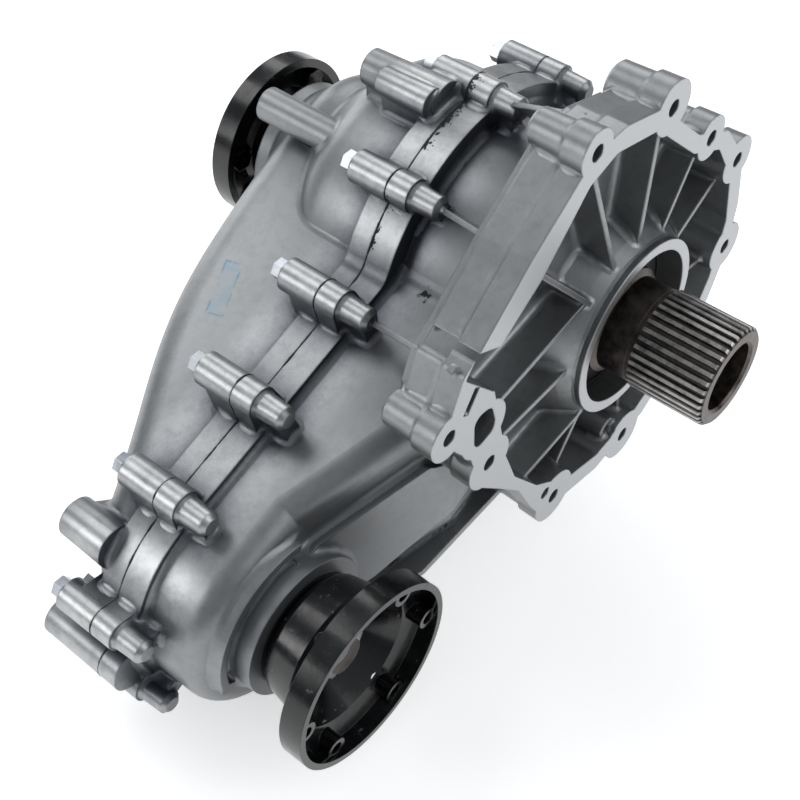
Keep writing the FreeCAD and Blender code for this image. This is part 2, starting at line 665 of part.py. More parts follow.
def dome(shell, start, back):
    """Turned body of the rear cover round axis A with its long neck, shrunk inwards by shell."""
    profile = [(0, start), (DOME_R - shell, start), (DOME_R - shell - 1, DOME_EDGE_Y - shell),
               (NECK_R - shell, NECK_START_Y - shell), (TAIL_R - shell + 2, back), (0, back)]
    radii = [0, 0, DOME_ROUND, DOME_ROUND, 0, 0]
    face = Part.Face(rounded_wire([Vector(r, y, 0) for r, y in profile], radii))
    return face.revolve(Vector(0, 0, 0), Y_AXIS, 360)


def cover_bosses(start, end):
    """Tapered bosses without a bolt, each with a web towards the case, clipped to a stretch of y."""
    solids = []
    for s, t, front_r, back_r, front, back in COVER_BOSSES:
        if front >= end or back <= start:
            continue
        low = max(front, start)
        high = min(back, end)
        place = at(s, t, 0)
        share = (front_r - back_r) / (back - front)
        solids.append(Part.makeCone(front_r - share * (low - front), front_r - share * (high - front),
                                    high - low, Vector(place.x, low, place.z), Y_AXIS))
        inner = at(0 if s < CENTRE_DISTANCE / 2 else CENTRE_DISTANCE, 0, 0)
        solids.append(lug(inner, place, back_r * WEB_SHARE, low, high - WEB_SET_BACK))
    return solids


def rear_cover():
    bx, bz = AXIS_B
    body = extrude(case_loop(LOBE_R, WAIST_R, BLEND_R, PARTING_Y), REAR_FLANGE)
    body = body.fuse(scoop(SCOOP_R, 0.0, SCOOP_ROUND, PARTING_Y))
    body = body.fuse(dome(0.0, PARTING_Y, TAIL_START_Y))
    body = body.fuse(rod(0, 0, TAIL_R, TAIL_START_Y - OVERLAP, TAIL_END_Y))
    for place in boss_places():
        body = body.fuse(rod_at(place, BOSS_R, PARTING_Y, SEAT_Y))
    body = body.fuse(bosses(PARTING_Y, FLANGE_BACK_Y + LUG_SET_BACK, BOSS_R))
    body = body.fuse(cover_bosses(PARTING_Y, TAIL_END_Y))
    x, z, radius, front, back = PIPE_BOSS
    body = body.fuse(rod(x, z, radius, front, back))
    room = scoop(SCOOP_R - CASE_WALL, CASE_WALL + 1, SCOOP_ROUND - CASE_WALL, PARTING_Y - 1)
    room = room.fuse(dome(CASE_WALL, PARTING_Y - 1, TAIL_START_Y))
    pilot_end = PILOT_Y + PILOT_BEARING[2]
    room = room.cut(rod(bx, bz, PILOT_BEARING[1] + PILOT_WALL, PILOT_Y, TAIL_END_Y))
    room = room.common(rod(0, 0, 2 * CENTRE_DISTANCE, 0, REAR_BEARING_Y - 4))
    body = body.cut(room)
    body = body.cut(rod(bx, bz, PILOT_BEARING[1], PARTING_Y - 1, pilot_end))
    body = body.cut(rear_bores())
    for place in dowel_places():
        body = body.cut(rod_at(place, DOWEL_R, PARTING_Y - 1, PARTING_Y + DOWEL_HALF))
    for place in boss_places():
        body = body.cut(rod_at(place, BOLT_R + BOLT_HOLE_PLAY, PARTING_Y - 1, SEAT_Y + 1))
        body = body.cut(rod_at(place, BOLT_WASHER_R + HEAD_ROOM, SEAT_Y, TAIL_END_Y))
    return body.removeSplitter()


def rear_bores():
    seat = rod(0, 0, REAR_BEARING[1], REAR_BEARING_Y - SNAP_RING - SEAT_STEP, REAR_BEARING_BACK_Y)
    groove = rod(0, 0, REAR_BEARING[1] + GROOVE_DEPTH, REAR_BEARING_Y - SNAP_RING, REAR_BEARING_Y)
    throat = rod(0, 0, REAR_SEAL_R - SEAT_STEP, REAR_BEARING_BACK_Y - 1, TAIL_END_Y - SEAL_WIDTH)
    mouth = rod(0, 0, REAR_SEAL_R, TAIL_END_Y - SEAL_WIDTH - RUN_GAP, TAIL_END_Y + 1)
    return seat.fuse([groove, throat, mouth])


# Housing pieces

def parting_sealant():
    """Thin bead of sealant pressed out all along the parting line between the bosses."""
    start = PARTING_Y - BEAD_R
    hole = case_loop(LOBE_R + BEAD_GAP, WAIST_R + BEAD_GAP, BLEND_R, start - 1)
    band = extrude(case_loop(LOBE_R + BEAD_R, WAIST_R + BEAD_R, BLEND_R, start), 2 * BEAD_R)
    band = band.cut(extrude(hole, 2 * BEAD_R + 2))
    band = band.cut(bosses(start - 1, PARTING_Y + 2, BOSS_R + BEAD_GAP))
    for s, t, front_r, back_r, front, back in COVER_BOSSES:
        if front < PARTING_Y:
            band = band.cut(rod_at(at(s, t, 0), front_r + BEAD_GAP, start - 1, PARTING_Y + 2))
    return Part.makeCompound([piece for piece in band.Solids if piece.Volume > BEAD_R ** 3])


def bosses(start, end, half):
    """Round bosses of radius half for the case bolts, each joined to the case by a widening web."""
    places = boss_places()
    roots = [at(0, 0, 0)] * len(BOSS_A_DEG) + [at(CENTRE_DISTANCE, 0, 0)] * len(BOSS_B_DEG)
    roots += [at(s, 0, 0) for s, t in BOSS_WAIST]
    solids = [rod_at(place, half, start, end) for place in places]
    solids += [lug(root, place, half, start, end) for root, place in zip(roots, places)]
    return solids[0].fuse(solids[1:])


def lug(inner, outer, half, start, end):
    """Web from a boss towards a point inside the case."""
    run = (outer - inner)
    side = Vector(run).normalize().cross(Y_AXIS)
    root = inner + run * (1 - LUG_LONG / run.Length)
    level = Vector(0, start, 0)
    wide = half * LUG_SPREAD
    corners = [outer + side * half, outer - side * half, root - side * wide, root + side * wide,
               outer + side * half]
    face = Part.Face(Part.makePolygon([c + level for c in corners]))
    return face.extrude(Vector(0, end - start, 0))


def hexagon(x, z, across, start, end):
    radius = across / math.sqrt(3)
    points = [on_circle((x, z), radius, 60 * i, start) for i in range(6)]
    return Part.Face(Part.makePolygon(points + [points[0]])).extrude(Vector(0, end - start, 0))


def case_bolts():
    """Flanged hexagon bolts that close the case, one in every boss."""
    solids = []
    for place in boss_places():
        shank = rod_at(place, BOLT_R, BOLT_TIP_Y, SEAT_Y + 1)
        collar = rod_at(place, BOLT_WASHER_R, SEAT_Y, SEAT_Y + BOLT_WASHER)
        head = hexagon(place.x, place.z, BOLT_HEAD_AF, SEAT_Y + 1, SEAT_Y + BOLT_WASHER + BOLT_HEAD)
        solids.append(fuse(shank, collar, head))
    return Part.makeCompound(solids)


def dowel_places():
    return [polar(0, LOBE_R - DOWEL_INSET, deg) for deg in DOWEL_DEG]


def locating_dowels():
    return Part.makeCompound([rod_at(p, DOWEL_R, PARTING_Y - DOWEL_HALF, PARTING_Y + DOWEL_HALF)
                              for p in dowel_places()])


def ring(inner, outer, start, end, centre=(0.0, 0.0)):
    return turned([(inner, start), (outer, start), (outer, end), (inner, end)], centre)


def seal(inner, outer, start, centre=(0.0, 0.0)):
    """Shaft seal with a stepped front face and a lip that runs on the shaft."""
    end = start + SEAL_WIDTH
    lip = inner + RUN_FIT
    face = start + SEAL_FACE
    wall = outer - SEAL_WALL
    thick = lip + SEAL_WALL
    return turned([(outer, start), (outer, end), (wall, end), (wall, face), (thick, face), (thick, end - 1),
                   (lip, end - 2), (lip, start + 1), (thick, start + 1), (outer - SEAL_FACE, start + 1),
                   (outer - SEAL_FACE, start)], centre)


def outer_race(bearing, start, centre=(0.0, 0.0)):
    bore, outside, width = bearing
    step = (outside - bore) * RACE_SHARE
    return turned([(outside, start), (outside, start + width), (outside - step, start + width),
                   (outside - step, start)], centre)


def inner_race(bearing, start, centre=(0.0, 0.0)):
    bore, outside, width = bearing
    step = (outside - bore) * RACE_SHARE
    return turned([(bore, start), (bore, start + width), (bore + step, start + width), (bore + step, start)],
                  centre)


def roller_cage(bearing, start, centre=(0.0, 0.0)):
    """Shielded ring of rolling bodies between the two races, running free of the outer one."""
    bore, outside, width = bearing
    step = (outside - bore) * RACE_SHARE
    return ring(bore + step, outside - step - RUN_FIT, start + CAGE_SET_BACK, start + width - CAGE_SET_BACK,
                centre)


def snap_ring(radius, start):
    """Open ring in a groove of a bearing bore."""
    whole = ring(radius - SNAP_RING_REACH, radius + GROOVE_DEPTH - SNAP_RING_PLAY, start + SNAP_RING_PLAY,
                 start + SNAP_RING - SNAP_RING_PLAY)
    mouth = Vector(-SNAP_RING_GAP / 2, start - 1, radius - 2 * SNAP_RING_REACH)
    return whole.cut(Part.makeBox(SNAP_RING_GAP, SNAP_RING + 2, 3 * SNAP_RING_REACH, mouth))


def chain_loop(radius, y):
    """Closed polygon of the chain with one corner for every link."""
    straight = CENTRE_DISTANCE
    turn = math.pi * SPROCKET_R
    total = 2 * straight + 2 * turn
    points = []
    for i in range(CHAIN_LINKS):
        run = i * total / CHAIN_LINKS
        if run < straight:
            points.append(at(run, radius, y))
        elif run < straight + turn:
            points.append(polar(CENTRE_DISTANCE, radius, 90 - math.degrees((run - straight) / SPROCKET_R), y))
        elif run < 2 * straight + turn:
            points.append(at(straight - (run - straight - turn), -radius, y))
        else:
            points.append(polar(0, radius, 270 - math.degrees((run - 2 * straight - turn) / SPROCKET_R), y))
    return Part.makePolygon(points + [points[0]])


def drive_chain():
    outer = Part.Face(chain_loop(CHAIN_INNER_R + CHAIN_THICK, CHAIN_FRONT_Y))
    inner = Part.Face(chain_loop(CHAIN_INNER_R, CHAIN_FRONT_Y))
    return outer.cut(inner).extrude(Vector(0, CHAIN_WIDTH, 0))


# Toothed wheels

def involute(angle):
    return math.tan(angle) - angle


def gear_wire(teeth, root, tip, slack, turn_deg, centre, y, steps):
    """Outline of a toothed wheel with straight facets laid on true involute flanks."""
    pitch = teeth * MODULE / 2
    pressure = math.radians(PRESSURE_DEG)
    base = pitch * math.cos(pressure)
    points = []
    for i in range(teeth):
        middle = math.radians(turn_deg) + 2 * math.pi * i / teeth
        flank = []
        for k in range(steps + 1):
            r = root + (tip - root) * k / steps
            here = math.acos(base / max(r, base))
            half = math.pi / (2 * teeth) - slack / (2 * pitch) + involute(pressure) - involute(here)
            flank.append((r, half))
        for r, half in flank:
            points.append(on_circle(centre, r, math.degrees(middle - half), y))
        for r, half in reversed(flank):
            points.append(on_circle(centre, r, math.degrees(middle + half), y))
    return Part.makePolygon(points + [points[0]])


def ratchet_wire(teeth, root, tip, land, gap, centre, y):
    """Outline with straight-sided teeth, for sprockets and splines."""
    points = []
    for i in range(teeth):
        step = 360.0 / teeth
        for part, r in ((-gap / 2, root), (-land / 2, tip), (land / 2, tip), (gap / 2, root)):
            points.append(on_circle(centre, r, step * (i + part), y))
    return Part.makePolygon(points + [points[0]])


def sun_gear():
    root = SUN_TEETH * MODULE / 2 - DEDENDUM
    tip = SUN_TEETH * MODULE / 2 + MODULE
    wire = gear_wire(SUN_TEETH, root, tip, BACKLASH, 0, (0, 0), GEAR_Y, FLANK_STEPS)
    sleeve = rod(0, 0, SLEEVE_R, SLEEVE_START_Y, GEAR_Y - 2)
    neck = rod(0, 0, root, GEAR_Y - 3, GEAR_Y + 1)
    bore = rod(0, 0, SLEEVE_BORE_R, SLEEVE_START_Y - 1, GEAR_Y + GEAR_WIDTH + 1)
    return cut(extrude(wire, GEAR_WIDTH).fuse([sleeve, neck]), bore)


def sprocket(centre, bore):
    root = SPROCKET_TIP_R - SPROCKET_DEPTH
    wheel = extrude(ratchet_wire(SPROCKET_TEETH, root, SPROCKET_TIP_R, SPROCKET_LAND, SPROCKET_SPACE, centre,
                                 CHAIN_FRONT_Y + 1), CHAIN_WIDTH - 2)
    hub = bore + SPROCKET_HUB
    rim = root - SPROCKET_RIM
    groove = ring(hub, rim, CHAIN_FRONT_Y, CHAIN_FRONT_Y + SPROCKET_DISH, centre)
    dish = ring(hub, rim, CHAIN_END_Y - SPROCKET_DISH, CHAIN_END_Y, centre)
    return cut(wheel, rod(centre[0], centre[1], bore, CHAIN_FRONT_Y - 1, CHAIN_END_Y + 1), groove, dish)


def sleeve_bushes():
    start = SLEEVE_START_Y + 1
    end = GEAR_Y + GEAR_WIDTH - 2
    first = ring(QUILL_R + RUN_FIT, SLEEVE_BORE_R, start, start + SLEEVE_BUSH_LONG)
    second = ring(QUILL_R + RUN_FIT, SLEEVE_BORE_R, end - SLEEVE_BUSH_LONG, end)
    return Part.makeCompound([first, second])


def planet_centre(i):
    return on_circle((0, 0), PLANET_ORBIT_R, 360.0 * i / PLANETS, 0)


def planet_gear(i):
    root = PLANET_TEETH * MODULE / 2 - DEDENDUM
    tip = PLANET_TEETH * MODULE / 2 + MODULE
    place = planet_centre(i)
    turn = 360.0 * i / PLANETS + 180 + 180.0 / PLANET_TEETH
    wire = gear_wire(PLANET_TEETH, root, tip, BACKLASH, turn, (place.x, place.z), GEAR_Y, FLANK_STEPS)
    return cut(extrude(wire, GEAR_WIDTH), rod_at(place, PIN_R + RUN_FIT, GEAR_Y - 1, GEAR_Y + GEAR_WIDTH + 1))


def planet_pins():
    return Part.makeCompound([rod_at(planet_centre(i), PIN_R, CARRIER_FRONT_Y, CARRIER_BACK_Y + CARRIER_PLATE)
                              for i in range(PLANETS)])


def pin_holes(start, end):
    holes = [rod_at(planet_centre(i), PIN_R, start, end) for i in range(PLANETS)]
    return holes[0].fuse(holes[1:])


def planet_carrier():
    """Front plate of the carrier with three webs that stand between the planet gears."""
    plate_end = CARRIER_FRONT_Y + CARRIER_PLATE
    body = ring(SLEEVE_R + 2, CARRIER_R, CARRIER_FRONT_Y, plate_end)
    for i in range(PLANETS):
        middle = 360.0 * (i + 0.5) / PLANETS
        body = body.fuse(carrier_web(middle, plate_end - 1, CARRIER_BACK_Y))
    return body.cut(pin_holes(CARRIER_FRONT_Y - 1, plate_end + 1))


def carrier_web(middle, start, end):
    low = CARRIER_WEB_DEG
    high = low * CARRIER_WEB_TAPER
    inner = SUN_TEETH * MODULE / 2 + MODULE + CARRIER_WEB_CLEAR
    edges = [Part.Arc(on_circle((0, 0), inner, middle - low, start), on_circle((0, 0), inner, middle, start),
                      on_circle((0, 0), inner, middle + low, start)).toShape(),
             Part.LineSegment(on_circle((0, 0), inner, middle + low, start),
                              on_circle((0, 0), CARRIER_R, middle + high, start)).toShape(),
             Part.Arc(on_circle((0, 0), CARRIER_R, middle + high, start),
                      on_circle((0, 0), CARRIER_R, middle, start),
                      on_circle((0, 0), CARRIER_R, middle - high, start)).toShape(),
             Part.LineSegment(on_circle((0, 0), CARRIER_R, middle - high, start),
                              on_circle((0, 0), inner, middle - low, start)).toShape()]
    return extrude(Part.Wire(edges), end - start)


def carrier_flange():
    """Back plate of the carrier with the hub that sits on the input shaft."""
    plate_end = CARRIER_BACK_Y + CARRIER_PLATE
    body = turned([(QUILL_R, CARRIER_BACK_Y), (CARRIER_R, CARRIER_BACK_Y), (CARRIER_R, plate_end),
                   (QUILL_R + CARRIER_HUB, plate_end), (QUILL_R + CARRIER_HUB, CARRIER_HUB_END_Y),
                   (QUILL_R, CARRIER_HUB_END_Y)])
    return body.cut(pin_holes(CARRIER_BACK_Y - 1, plate_end + 1))


def annulus_gear():
    """Ring gear with its drum and the web that drives the rear output shaft."""
    pitch = RING_TEETH * MODULE / 2
    start = GEAR_Y - 2
    end = GEAR_Y + GEAR_WIDTH
    root = pitch + DEDENDUM
    inside = DRUM_GEAR_R - DRUM_WALL
    body = turned([(root + 0.5, start), (DRUM_GEAR_R, start), (DRUM_GEAR_R, DRUM_END_Y),
                   (REAR_NECK_R, DRUM_END_Y), (REAR_NECK_R, DRUM_END_Y - DRUM_WEB),
                   (inside, DRUM_END_Y - DRUM_WEB), (inside, end), (root + 0.5, end)])
    spaces = Part.Face(gear_wire(RING_TEETH, pitch - MODULE, root, -BACKLASH, 180.0 / RING_TEETH, (0, 0),
                                 GEAR_Y, RING_FLANK_STEPS))
    blank = Part.Face(Part.Wire(Part.makeCircle(root + 1, Vector(0, GEAR_Y, 0), Y_AXIS)))
    return body.fuse(blank.cut(spaces).extrude(Vector(0, GEAR_WIDTH, 0)))


# Shafts and flanges

def input_shaft():
    """Hollow splined stub, seal collar and the long quill that carries the planet carrier."""
    root = SPLINE_R - SPLINE_DEPTH
    shoulder = QUILL_R + QUILL_SHOULDER
    journal = SPLINE_END_Y + 3
    teeth = extrude(ratchet_wire(SPLINE_TEETH, root, SPLINE_R, SPLINE_LAND, SPLINE_SPACE, (0, 0), SPLINE_TIP_Y),
                    SPLINE_END_Y - SPLINE_TIP_Y)
    trim = turned([(0, SPLINE_TIP_Y), (root, SPLINE_TIP_Y), (SPLINE_R + 1, SPLINE_TIP_Y + SPLINE_DEPTH + 1),
                   (SPLINE_R + 1, SPLINE_END_Y), (0, SPLINE_END_Y)])
    core = turned([(0, SPLINE_END_Y), (root, SPLINE_END_Y), (root, journal), (JOURNAL_R, journal),
                   (JOURNAL_R, JOURNAL_END_Y), (COLLAR_R, JOURNAL_END_Y + 2), (COLLAR_R, BEARING_BACK_Y),
                   (shoulder, BEARING_BACK_Y), (shoulder, WASHER_Y), (QUILL_R, WASHER_Y),
                   (QUILL_R, CARRIER_HUB_END_Y), (QUILL_TAIL_R, CARRIER_HUB_END_Y),
                   (QUILL_TAIL_R, QUILL_TAIL_END_Y), (0, QUILL_TAIL_END_Y)])
    shaft = teeth.common(trim).fuse(core)
    bore_end = SPLINE_TIP_Y + SHAFT_BORE_DEPTH
    mouth = SHAFT_BORE_R + SHAFT_CHAMFER
    bore = turned([(0, SPLINE_TIP_Y - 1), (mouth, SPLINE_TIP_Y - 1), (mouth, SPLINE_TIP_Y),
                   (SHAFT_BORE_R, SPLINE_TIP_Y + SHAFT_CHAMFER), (SHAFT_BORE_R, bore_end), (0, bore_end + 6)])
    return shaft.cut(bore)


def thrust_washer():
    return ring(QUILL_R, QUILL_R + QUILL_SHOULDER, WASHER_Y, WASHER_Y + WASHER)


def front_output_shaft():
    end = PILOT_Y + PILOT_BEARING[2]
    tip = NUT_FRONT_Y - THREAD_PROUD
    seat = FRONT_BEARING[0]
    shoulder = seat + SHOULDER
    pilot = PILOT_BEARING[0] + PILOT_SHOULDER
    return turned([(0, tip), (THREAD_R, tip), (THREAD_R, CUP_WEB_Y), (CUP_BORE_R, CUP_WEB_Y),
                   (CUP_BORE_R, FRONT_BEARING_Y), (seat, FRONT_BEARING_Y), (seat, FRONT_BEARING_BACK_Y),
                   (shoulder, FRONT_BEARING_BACK_Y), (shoulder, CHAIN_FRONT_Y + 1),
                   (SPROCKET_SEAT_R, CHAIN_FRONT_Y + 1), (SPROCKET_SEAT_R, CHAIN_END_Y + 2),
                   (pilot, CHAIN_END_Y + 2), (pilot, PILOT_Y), (PILOT_BEARING[0], PILOT_Y),
                   (PILOT_BEARING[0], end), (0, end)], AXIS_B)


def front_flange():
    """Cup-shaped companion flange on the front output."""
    inner = CUP_R - CUP_WALL
    rim_end = CUP_FRONT_Y + CUP_RIM
    neck_y = rim_end + 2 * CUP_STEP + 1
    body = turned([(inner, CUP_FRONT_Y), (CUP_R, CUP_FRONT_Y), (CUP_R, rim_end),
                   (CUP_NECK_R + CUP_NECK_TAPER, rim_end + CUP_STEP), (CUP_NECK_R, neck_y),
                   (CUP_NECK_R - CUP_NECK_TAPER, CUP_HUB_BACK_Y - CUP_NECK_TAPER),
                   (CUP_HUB_R - 1, CUP_HUB_BACK_Y), (CUP_SLEEVE_R, CUP_HUB_BACK_Y),
                   (CUP_SLEEVE_R, FRONT_BEARING_Y), (CUP_BORE_R, FRONT_BEARING_Y), (CUP_BORE_R, CUP_WEB_Y),
                   (CUP_HUB_R - CUP_STEP, CUP_WEB_Y), (CUP_HUB_R + 1, neck_y - CUP_NECK_TAPER),
                   (CUP_HUB_R + CUP_STEP, rim_end), (inner - 1, rim_end - CUP_STEP)], AXIS_B)
    for i in range(CUP_BOLTS):
        place = polar(CENTRE_DISTANCE, CUP_BOLT_PCD / 2, CUP_BOLT_DEG + 360.0 * i / CUP_BOLTS)
        body = body.fuse(rod_at(place, CUP_LUG_R, CUP_FRONT_Y + CUP_LUG_SET_BACK, rim_end))
    for i in range(CUP_BOLTS):
        deg = CUP_BOLT_DEG + 360.0 * i / CUP_BOLTS
        place = polar(CENTRE_DISTANCE, CUP_BOLT_PCD / 2, deg)
        body = body.cut(rod_at(place, CUP_BOLT_R, CUP_FRONT_Y - 1, neck_y - CUP_NECK_TAPER))
        relief = polar(CENTRE_DISTANCE, CUP_HUB_R + CUP_RELIEF_R + CUP_LUG_SET_BACK, deg, rim_end + 1)
        body = body.cut(Part.makeCone(CUP_RELIEF_R, 0, CUP_HUB_BACK_Y - rim_end - 2 * CUP_STEP, relief, Y_AXIS))
    return body


def hex_nut(centre, across, bore, start, end):
    nut = hexagon(centre[0], centre[1], across, start, end)
    collar = rod(centre[0], centre[1], across / 2 + NUT_COLLAR, end - NUT_COLLAR_LONG, end)
    return cut(nut.fuse(collar), rod(centre[0], centre[1], bore, start - 1, end + 1))


def rear_nut():
    end = REAR_NUT_Y + REAR_NUT_LONG
    return hexagon(0, 0, REAR_NUT_AF, REAR_NUT_Y, end).cut(rod(0, 0, REAR_THREAD_R, REAR_NUT_Y - 1, end + 1))


def rear_output_shaft():
    """Shaft behind the ring gear, bored at the front for the tail of the input shaft."""
    back = REAR_BEARING_BACK_Y
    end = REAR_NUT_Y + REAR_NUT_LONG + 2
    shoulder = REAR_NECK_R + REAR_SHOULDER
    return turned([(TAIL_BUSH_R, REAR_NECK_Y), (REAR_NECK_R, REAR_NECK_Y), (REAR_NECK_R, DRUM_END_Y),
                   (shoulder, DRUM_END_Y), (shoulder, REAR_BEARING_Y), (REAR_BEARING[0], REAR_BEARING_Y),
                   (REAR_BEARING[0], back), (REAR_BORE_R, back), (REAR_BORE_R, REAR_NUT_Y),
                   (REAR_THREAD_R, REAR_NUT_Y), (REAR_THREAD_R, end), (0, end), (0, QUILL_TAIL_END_Y + 2),
                   (TAIL_BUSH_R, QUILL_TAIL_END_Y + 1)])


def tail_bush():
    return ring(QUILL_TAIL_R + RUN_FIT, TAIL_BUSH_R, REAR_NECK_Y + 1, QUILL_TAIL_END_Y)


def rear_flange():
    """Driving flange on the rear output, hollowed on its front side round the sleeve."""
    back = REAR_BEARING_BACK_Y
    front = REAR_FACE_Y - REAR_RIM_LONG
    disc = REAR_FACE_Y - REAR_DISC
    inner = REAR_FLANGE_R - REAR_RIM
    pocket = REAR_SLEEVE_R - REAR_RIM
    body = turned([(REAR_BORE_R, back), (REAR_SLEEVE_R, back), (REAR_SLEEVE_R, disc - REAR_FILLET),
                   (REAR_SLEEVE_R + REAR_FILLET, disc), (inner, disc), (inner, front), (REAR_FLANGE_R, front),
                   (REAR_FLANGE_R, REAR_FACE_Y), (pocket, REAR_FACE_Y), (pocket, REAR_NUT_Y),
                   (REAR_BORE_R, REAR_NUT_Y)])
    for i in range(REAR_BOLTS):
        place = polar(0, REAR_BOLT_PCD / 2, 360.0 * (i + 0.5) / REAR_BOLTS)
        body = body.cut(rod_at(place, REAR_BOLT_R, disc - 1, REAR_FACE_Y + 1))
    return body


def rear_flange_bolts():
    disc = REAR_FACE_Y - REAR_DISC
    solids = []
    for i in range(REAR_BOLTS):
        place = polar(0, REAR_BOLT_PCD / 2, 360.0 * (i + 0.5) / REAR_BOLTS)
        shank = rod_at(place, REAR_BOLT_R, disc - 1, REAR_FACE_Y)
        head = hexagon(place.x, place.z, REAR_BOLT_R * REAR_BOLT_AF_SHARE, disc - REAR_BOLT_HEAD - 1, disc)
        solids.append(fuse(shank, head))
    return Part.makeCompound(solids)


def save(shape, name):
    shape.exportStep("parts/" + name + ".step")
    print(name, "solids", len(shape.Solids), "valid", shape.isValid(), "volume", round(shape.Volume / 1000, 1))


save(front_case(), "front_case")
save(rear_cover(), "rear_cover")
save(parting_sealant(), "parting_sealant")
save(case_bolts(), "case_bolts")
save(locating_dowels(), "locating_dowels")
save(seal(COLLAR_R, RING_BORE_R, INPUT_SEAL_Y), "input_seal")
save(outer_race(INPUT_BEARING, INPUT_BEARING_Y), "input_bearing_outer_race")
save(snap_ring(INPUT_BEARING[1], BEARING_BACK_Y), "input_snap_ring")
save(seal(CUP_SLEEVE_R, FRONT_SEAL_R, NOSE_Y, AXIS_B), "front_output_seal")
save(outer_race(FRONT_BEARING, FRONT_BEARING_Y, AXIS_B), "front_output_bearing_outer_race")
save(outer_race(PILOT_BEARING, PILOT_Y, AXIS_B), "pilot_bearing_outer_race")
save(seal(REAR_SLEEVE_R, REAR_SEAL_R, TAIL_END_Y - SEAL_WIDTH), "rear_output_seal")
save(outer_race(REAR_BEARING, REAR_BEARING_Y), "rear_bearing_outer_race")
save(snap_ring(REAR_BEARING[1], REAR_BEARING_Y - SNAP_RING), "rear_snap_ring")
save(drive_chain(), "drive_chain")
save(input_shaft(), "input_shaft")
save(inner_race(INPUT_BEARING, INPUT_BEARING_Y), "input_bearing_inner_race")
save(roller_cage(INPUT_BEARING, INPUT_BEARING_Y), "input_bearing_rollers")
save(thrust_washer(), "thrust_washer")
save(planet_carrier(), "planet_carrier")
save(carrier_flange(), "carrier_flange")
save(planet_pins(), "planet_pins")
for number in range(PLANETS):
    save(planet_gear(number), "planet_gear_%d" % (number + 1))
save(sun_gear(), "sun_gear")
save(sprocket((0, 0), SLEEVE_R), "drive_sprocket")
save(sleeve_bushes(), "sleeve_bushes")
save(front_output_shaft(), "front_output_shaft")
save(sprocket(AXIS_B, SPROCKET_SEAT_R), "driven_sprocket")
save(front_flange(), "front_flange")
save(hex_nut(AXIS_B, NUT_AF, THREAD_R, NUT_FRONT_Y, CUP_WEB_Y), "front_flange_nut")
save(inner_race(FRONT_BEARING, FRONT_BEARING_Y, AXIS_B), "front_output_bearing_inner_race")
save(roller_cage(FRONT_BEARING, FRONT_BEARING_Y, AXIS_B), "front_output_bearing_rollers")
save(inner_race(PILOT_BEARING, PILOT_Y, AXIS_B), "pilot_bearing_inner_race")
save(roller_cage(PILOT_BEARING, PILOT_Y, AXIS_B), "pilot_bearing_rollers")
save(annulus_gear(), "annulus_gear")
save(rear_output_shaft(), "rear_output_shaft")
save(tail_bush(), "tail_bush")
save(rear_flange(), "rear_flange")
save(rear_nut(), "rear_flange_nut")
save(rear_flange_bolts(), "rear_flange_bolts")
save(inner_race(REAR_BEARING, REAR_BEARING_Y), "rear_bearing_inner_race")
save(roller_cage(REAR_BEARING, REAR_BEARING_Y), "rear_bearing_rollers")
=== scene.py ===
# %% [markdown]
# A transfer case shares the gearbox's power between the front and rear axles. This file dresses its
# parts, which are loaded at their real size in metres, with finishes, light and a camera. Each step
# first says what the real thing is, then how it could be made in Blender and why it is made this way.

# %% Load the parts
import json
import math
import random

import bpy
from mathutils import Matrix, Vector, noise as smooth_noise
from mathutils.bvhtree import BVHTree


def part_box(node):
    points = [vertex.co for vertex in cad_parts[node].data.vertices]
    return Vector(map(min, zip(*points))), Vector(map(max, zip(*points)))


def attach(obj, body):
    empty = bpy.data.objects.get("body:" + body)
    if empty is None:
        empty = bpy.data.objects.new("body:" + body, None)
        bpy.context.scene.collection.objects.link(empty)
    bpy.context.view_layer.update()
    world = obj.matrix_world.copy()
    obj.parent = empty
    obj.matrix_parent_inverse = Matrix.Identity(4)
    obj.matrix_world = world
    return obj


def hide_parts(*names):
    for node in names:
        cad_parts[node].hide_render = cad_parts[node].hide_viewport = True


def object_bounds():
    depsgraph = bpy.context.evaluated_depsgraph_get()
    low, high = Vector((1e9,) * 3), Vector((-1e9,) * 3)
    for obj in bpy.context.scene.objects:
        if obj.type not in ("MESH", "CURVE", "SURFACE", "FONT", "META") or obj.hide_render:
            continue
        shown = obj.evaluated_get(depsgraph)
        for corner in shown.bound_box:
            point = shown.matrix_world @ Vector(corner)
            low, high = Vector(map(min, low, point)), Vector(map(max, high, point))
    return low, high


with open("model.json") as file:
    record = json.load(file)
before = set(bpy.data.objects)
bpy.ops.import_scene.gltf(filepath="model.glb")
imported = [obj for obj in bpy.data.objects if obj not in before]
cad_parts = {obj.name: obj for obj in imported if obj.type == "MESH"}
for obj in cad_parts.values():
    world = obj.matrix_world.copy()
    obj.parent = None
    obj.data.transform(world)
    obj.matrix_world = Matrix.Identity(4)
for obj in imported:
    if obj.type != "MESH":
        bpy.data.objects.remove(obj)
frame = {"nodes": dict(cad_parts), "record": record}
nodes = frame["nodes"]
cad_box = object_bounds()
low, high = cad_box
MM = 0.001
print("parts loaded:", len(nodes))

# %% [markdown]
# The camera stands where the photographer stood: ahead of the case, above it and on its left.
# A camera could be placed by eye, but the position, aim and lens here come from the shafts' circles,
# which are seen as ellipses, so every edge falls where the photograph has it.

# %% Camera
CAMERA_MM = (-482.78, -242.80, 523.82)
AIM_MM = (-190.62, 0.0, 105.38)
SENSOR_MM = 36.0
IMAGE_PX = 800.0
FOCAL_PX = 1434.54
SEES_AS_FAR_AS_M = 50.0

